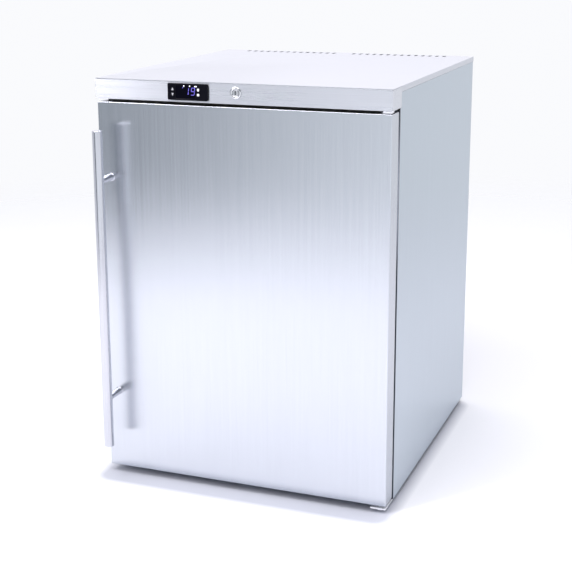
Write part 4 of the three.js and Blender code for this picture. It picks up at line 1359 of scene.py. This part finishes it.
def makeScrewPart():
    # a pan head with a cross recess, standing on z = 0
    radius, top, sides = screwLook["headRadius"], screwLook["headHeight"], screwLook["sides"]
    bm = bmesh.new()

    def corner(i, r, h):
        angle = 2 * math.pi * i / sides
        return bm.verts.new(Vector((r * math.cos(angle), r * math.sin(angle), h)) * mm)

    profile = [(radius, 0), (radius, 0.35 * top), (0.82 * radius, 0.8 * top), (0.62 * radius, top)]
    rows = [[corner(i, r, h) for i in range(sides)] for r, h in profile]
    for low, high in zip(rows, rows[1:]):
        for i in range(sides):
            j = (i + 1) % sides
            bm.faces.new((low[i], low[j], high[j], high[i]))
    centre = bm.verts.new((0, 0, 0.35 * top * mm))
    ring = [corner(i, radius * (0.55 if i % 4 == 0 else 0.2), 0.95 * top) for i in range(sides)]
    for i in range(sides):
        j = (i + 1) % sides
        bm.faces.new((rows[-1][i], rows[-1][j], ring[j], ring[i]))
        bm.faces.new((ring[i], ring[j], centre))
    bm.faces.new(rows[0][::-1])
    return addObject("screwPart", meshFrom(bm, "screwPart", 35))


screwPart = makeScrewPart()
turns = {"down": (math.pi, 0, 0), "front": (math.pi / 2, 0, 0), "rear": (-math.pi / 2, 0, 0)}
turns.update({"left": (0, -math.pi / 2, 0), "right": (0, math.pi / 2, 0)})


def screws(name, facing, points, body="cabinet", finish="zincScrew", seed=3):
    values = {"Part": screwPart, "Turn": Euler(turns[facing]), "Spread": math.pi, "Seed": seed}
    return settle(grow(name, "scatter", finish, values, points), body=body)


def makeScrews():
    rearFace = limits("back_panel")[1][1]
    points = [(sx * 290, rearFace, h) for sx in (-1, 1) for h in (250, 380, 520, 660, 796)]
    screws("back_screws", "rear", points + [(x, rearFace, 798) for x in (-150, 0, 150)])
    grilleFace = limits("rear_grille")[1][1]
    points = [(sx * 285, grilleFace, h) for sx in (-1, 1) for h in (26, 120, 218)]
    screws("grille_screws", "rear", points + [(sx * 100, grilleFace, h) for sx in (-1, 1) for h in (26, 219)])
    shroudFace = limits("evaporator_cover")[1][0]
    points = [(sx * 190, shroudFace, h) for sx in (-1, 1) for h in (596, 714)]
    screws("shroud_screws", "front", points, finish="polishedSteel")
    plateLow = limits("hinge_bracket_bottom")[2][0]
    screws("lower_hinge_screws", "down", [(x, y, plateLow) for x in (274, 292) for y in (-240, -212)])
    bracket = limits("hinge_bracket_top")
    screws("upper_hinge_screws", "front", [(x, bracket[1][1] - 3, 797) for x in (275, 291)])
    tray = limits("compressor_tray")
    screws("tray_screws", "down", [(x, y, tray[2][0]) for x in (-200, 0, 200) for y in (160, 336)])
    cam = limits("lock_cam")
    centre = middle("lock_housing")
    screws("cam_screw", "rear", [(centre.x, cam[1][1], centre.z)], body="lock", seed=5)
    for name, side, facing in (("left", -1, "right"), ("right", 1, "left")):
        for row in ("front", "rear"):
            strip = limits("shelf_strip_" + row + "_" + name)
            face = strip[0][1] - 9 if side < 0 else strip[0][0] + 9
            points = [(face, (strip[1][0] + strip[1][1]) / 2, h) for h in (380, 535, 690)]
            screws("strip_screws_" + row + "_" + name, facing, points, finish="polishedSteel")


makeScrews()
bpy.data.objects.remove(screwPart)
print("screws made")

kept = {
    "front_frame": "sideSteel",
    "base_pan": "zincSheet",
    "body_foam": "shadedFoam",
    "door_foam": "shadedFoam",
}
for node, finish in kept.items():
    setPaint(frame["nodes"][node], finish)

studio = {
    "floorWhite": (0.90, 0.905, 0.925),
    "floorCentre": (0.0, -0.1),
    "floorFade": (1.6, 3.4),
    "contactReach": (0.022, 0.046),
    "contactInset": (0.02, 0.045),
    "contactShade": 0.6,
    "contactShadowColour": (0.25, 0.275, 0.35),
    "backdrop": (0.955, 0.962, 0.985),
    "lowFrontLeft": (0.075, 0.105, 0.13),
    "lowFrontRight": (1.17, 1.205, 1.26),
    "farLeft": (0.80, 0.82, 0.88),
    "highFront": (0.30, 0.32, 0.36),
    "lowBack": (1.24, 1.22, 1.29),
    "highBack": (0.80, 0.81, 0.86),
    "underBack": (0.93, 0.945, 0.99),
    "lampColour": (0.98, 0.95, 0.98),
}

# each softbox: place, the point it faces, size (m) and power (W)
softboxes = {
    "topSoftbox": ((0.0, 0.2, 3.4), (0.0, 0.1, 0.0), (3.6, 2.6), 30.0),
    "frontSoftbox": ((0.0, -1.2, 2.6), (0.0, -0.75, 0.0), (2.2, 1.3), 52.0),
    "rearSoftbox": ((0.0, 3.1, 3.2), (0.0, 3.0, 0.0), (5.0, 2.2), 24.0),
    "leftStripbox": ((-1.95, -2.75, 2.3), (-0.1, -0.1, 0.8), (0.7, 1.8), 60.0),
}


def addFloor():
    # pale, with a painted shadow around the object's footprint, and fading away from the object into the
    # backdrop
    bm = bmesh.new()
    bmesh.ops.create_circle(bm, cap_ends=True, segments=96, radius=9.0)
    floor = addObject("floor", meshFrom(bm, "floor", 40, False))

    def build(graph):
        grain = noise(graph, 40.0)
        cloud = ramp(graph, noise(graph, 0.6), 0.3, 0.7)
        colour = graph.mix(cloud, tuple(0.985 * c for c in studio["floorWhite"]), studio["floorWhite"])
        coords = graph.node("ShaderNodeTexCoord", output="Object")
        halves = ((cadBox[1] - cadBox[0]) / 2).xy
        sides = zip(graph.split(coords), halves, studio["contactInset"])
        outside = [graph.maths("ABSOLUTE", along) - (half - inset) for along, half, inset in sides]
        outside = [graph.maths("MAXIMUM", gap, 0.0) for gap in outside]
        away = graph.maths("SQRT", outside[0] * outside[0] + outside[1] * outside[1])
        # painted shadow: the floor colour darkens toward the contact shadow colour within a few cm of the
        # footprint
        shade = 1 - ramp(graph, away, *studio["contactReach"])
        colour = graph.mix(shade * studio["contactShade"], colour, studio["contactShadowColour"])
        settings = {"operation": "DISTANCE"}
        reach = graph.node(
            "ShaderNodeVectorMath", settings, {0: coords, 1: (*studio["floorCentre"], 0)}, "Value"
)
        fade = ramp(graph, reach, *studio["floorFade"])
        return {"Base Color": colour, "Roughness": 0.8 + grain * 0.1, "Alpha": 1 - fade}

    floor.data.materials.append(surface("paleFloor", build))


def addArea(name, position, target, size, power):
    data = bpy.data.lights.new(name, "AREA")
    data.shape = "RECTANGLE"
    data.size, data.size_y = size
    data.energy = power
    data.color = studio["lampColour"]
    lamp = bpy.data.objects.new(name, data)
    lamp.location = position
    lamp.rotation_mode = "QUATERNION"
    lamp.rotation_quaternion = (Vector(target) - Vector(position)).to_track_quat("-Z", "Y")
    lamp.visible_camera = False
    scene.collection.objects.link(lamp)


def addSky():
    # a plain backdrop to look at, and a soft room to be reflected and to light the object
    world = bpy.data.worlds.new("studioSky")
    world.use_nodes = True
    world.node_tree.nodes.clear()
    graph = Graph(world.node_tree)
    x, y, z = graph.split(graph.node("ShaderNodeTexCoord", output="Generated"))
    lowFront = graph.mix(ramp(graph, x, -0.48, -0.29), studio["lowFrontLeft"], studio["lowFrontRight"])
    lowFront = graph.mix(ramp(graph, x, -0.60, -0.72), lowFront, studio["farLeft"])
    front = graph.mix(ramp(graph, z, 0.0, 0.25), lowFront, studio["highFront"])
    back = graph.mix(ramp(graph, z, 0.35, 0.9), studio["lowBack"], studio["highBack"])
    back = graph.mix(ramp(graph, z, -0.02, 0.12), studio["underBack"], back)
    room = graph.mix(ramp(graph, y, -0.45, 0.25), front, back)
    sky = graph.node("ShaderNodeBackground", None, {"Color": room, "Strength": 1.0})
    seen = graph.node("ShaderNodeBackground", None, {"Color": (*studio["backdrop"], 1), "Strength": 1.0})
    direct = graph.node("ShaderNodeLightPath", output="Is Camera Ray")
    both = graph.node("ShaderNodeMixShader", None, {0: direct, 1: sky, 2: seen})
    graph.node("ShaderNodeOutputWorld", None, {"Surface": both})
    scene.world = world


addFloor()
addSky()
for name, values in softboxes.items():
    addArea(name, *values)

camera = {
    "place": (0.9043, -2.4465, 1.0865),
    "yaw": -0.3726,
    "pitch": 0.2427,
    "roll": -0.0059,
    "sensor": 36,
    "lens": 1249.6 / 572 * 36,
    "shift": (0.0262, -0.0699),
}


def addCamera():
    yaw, pitch, roll = camera["yaw"], camera["pitch"], camera["roll"]
    ahead = Vector((math.sin(yaw) * math.cos(pitch), math.cos(yaw) * math.cos(pitch), -math.sin(pitch)))
    right = Vector((math.cos(yaw), -math.sin(yaw), 0))
    up = right.cross(ahead)
    right, up = math.cos(roll) * right + math.sin(roll) * up, math.cos(roll) * up - math.sin(roll) * right
    data = bpy.data.cameras.new("camera")
    data.lens = camera["lens"]
    data.sensor_width = camera["sensor"]
    data.shift_x, data.shift_y = camera["shift"]
    eye = bpy.data.objects.new("camera", data)
    eye.matrix_world = Matrix.Translation(camera["place"]) @ Matrix((right, up, -ahead)).transposed().to_4x4()
    scene.collection.objects.link(eye)
    scene.camera = eye


addCamera()
scene.view_settings.view_transform = "Standard"
print("studio made")
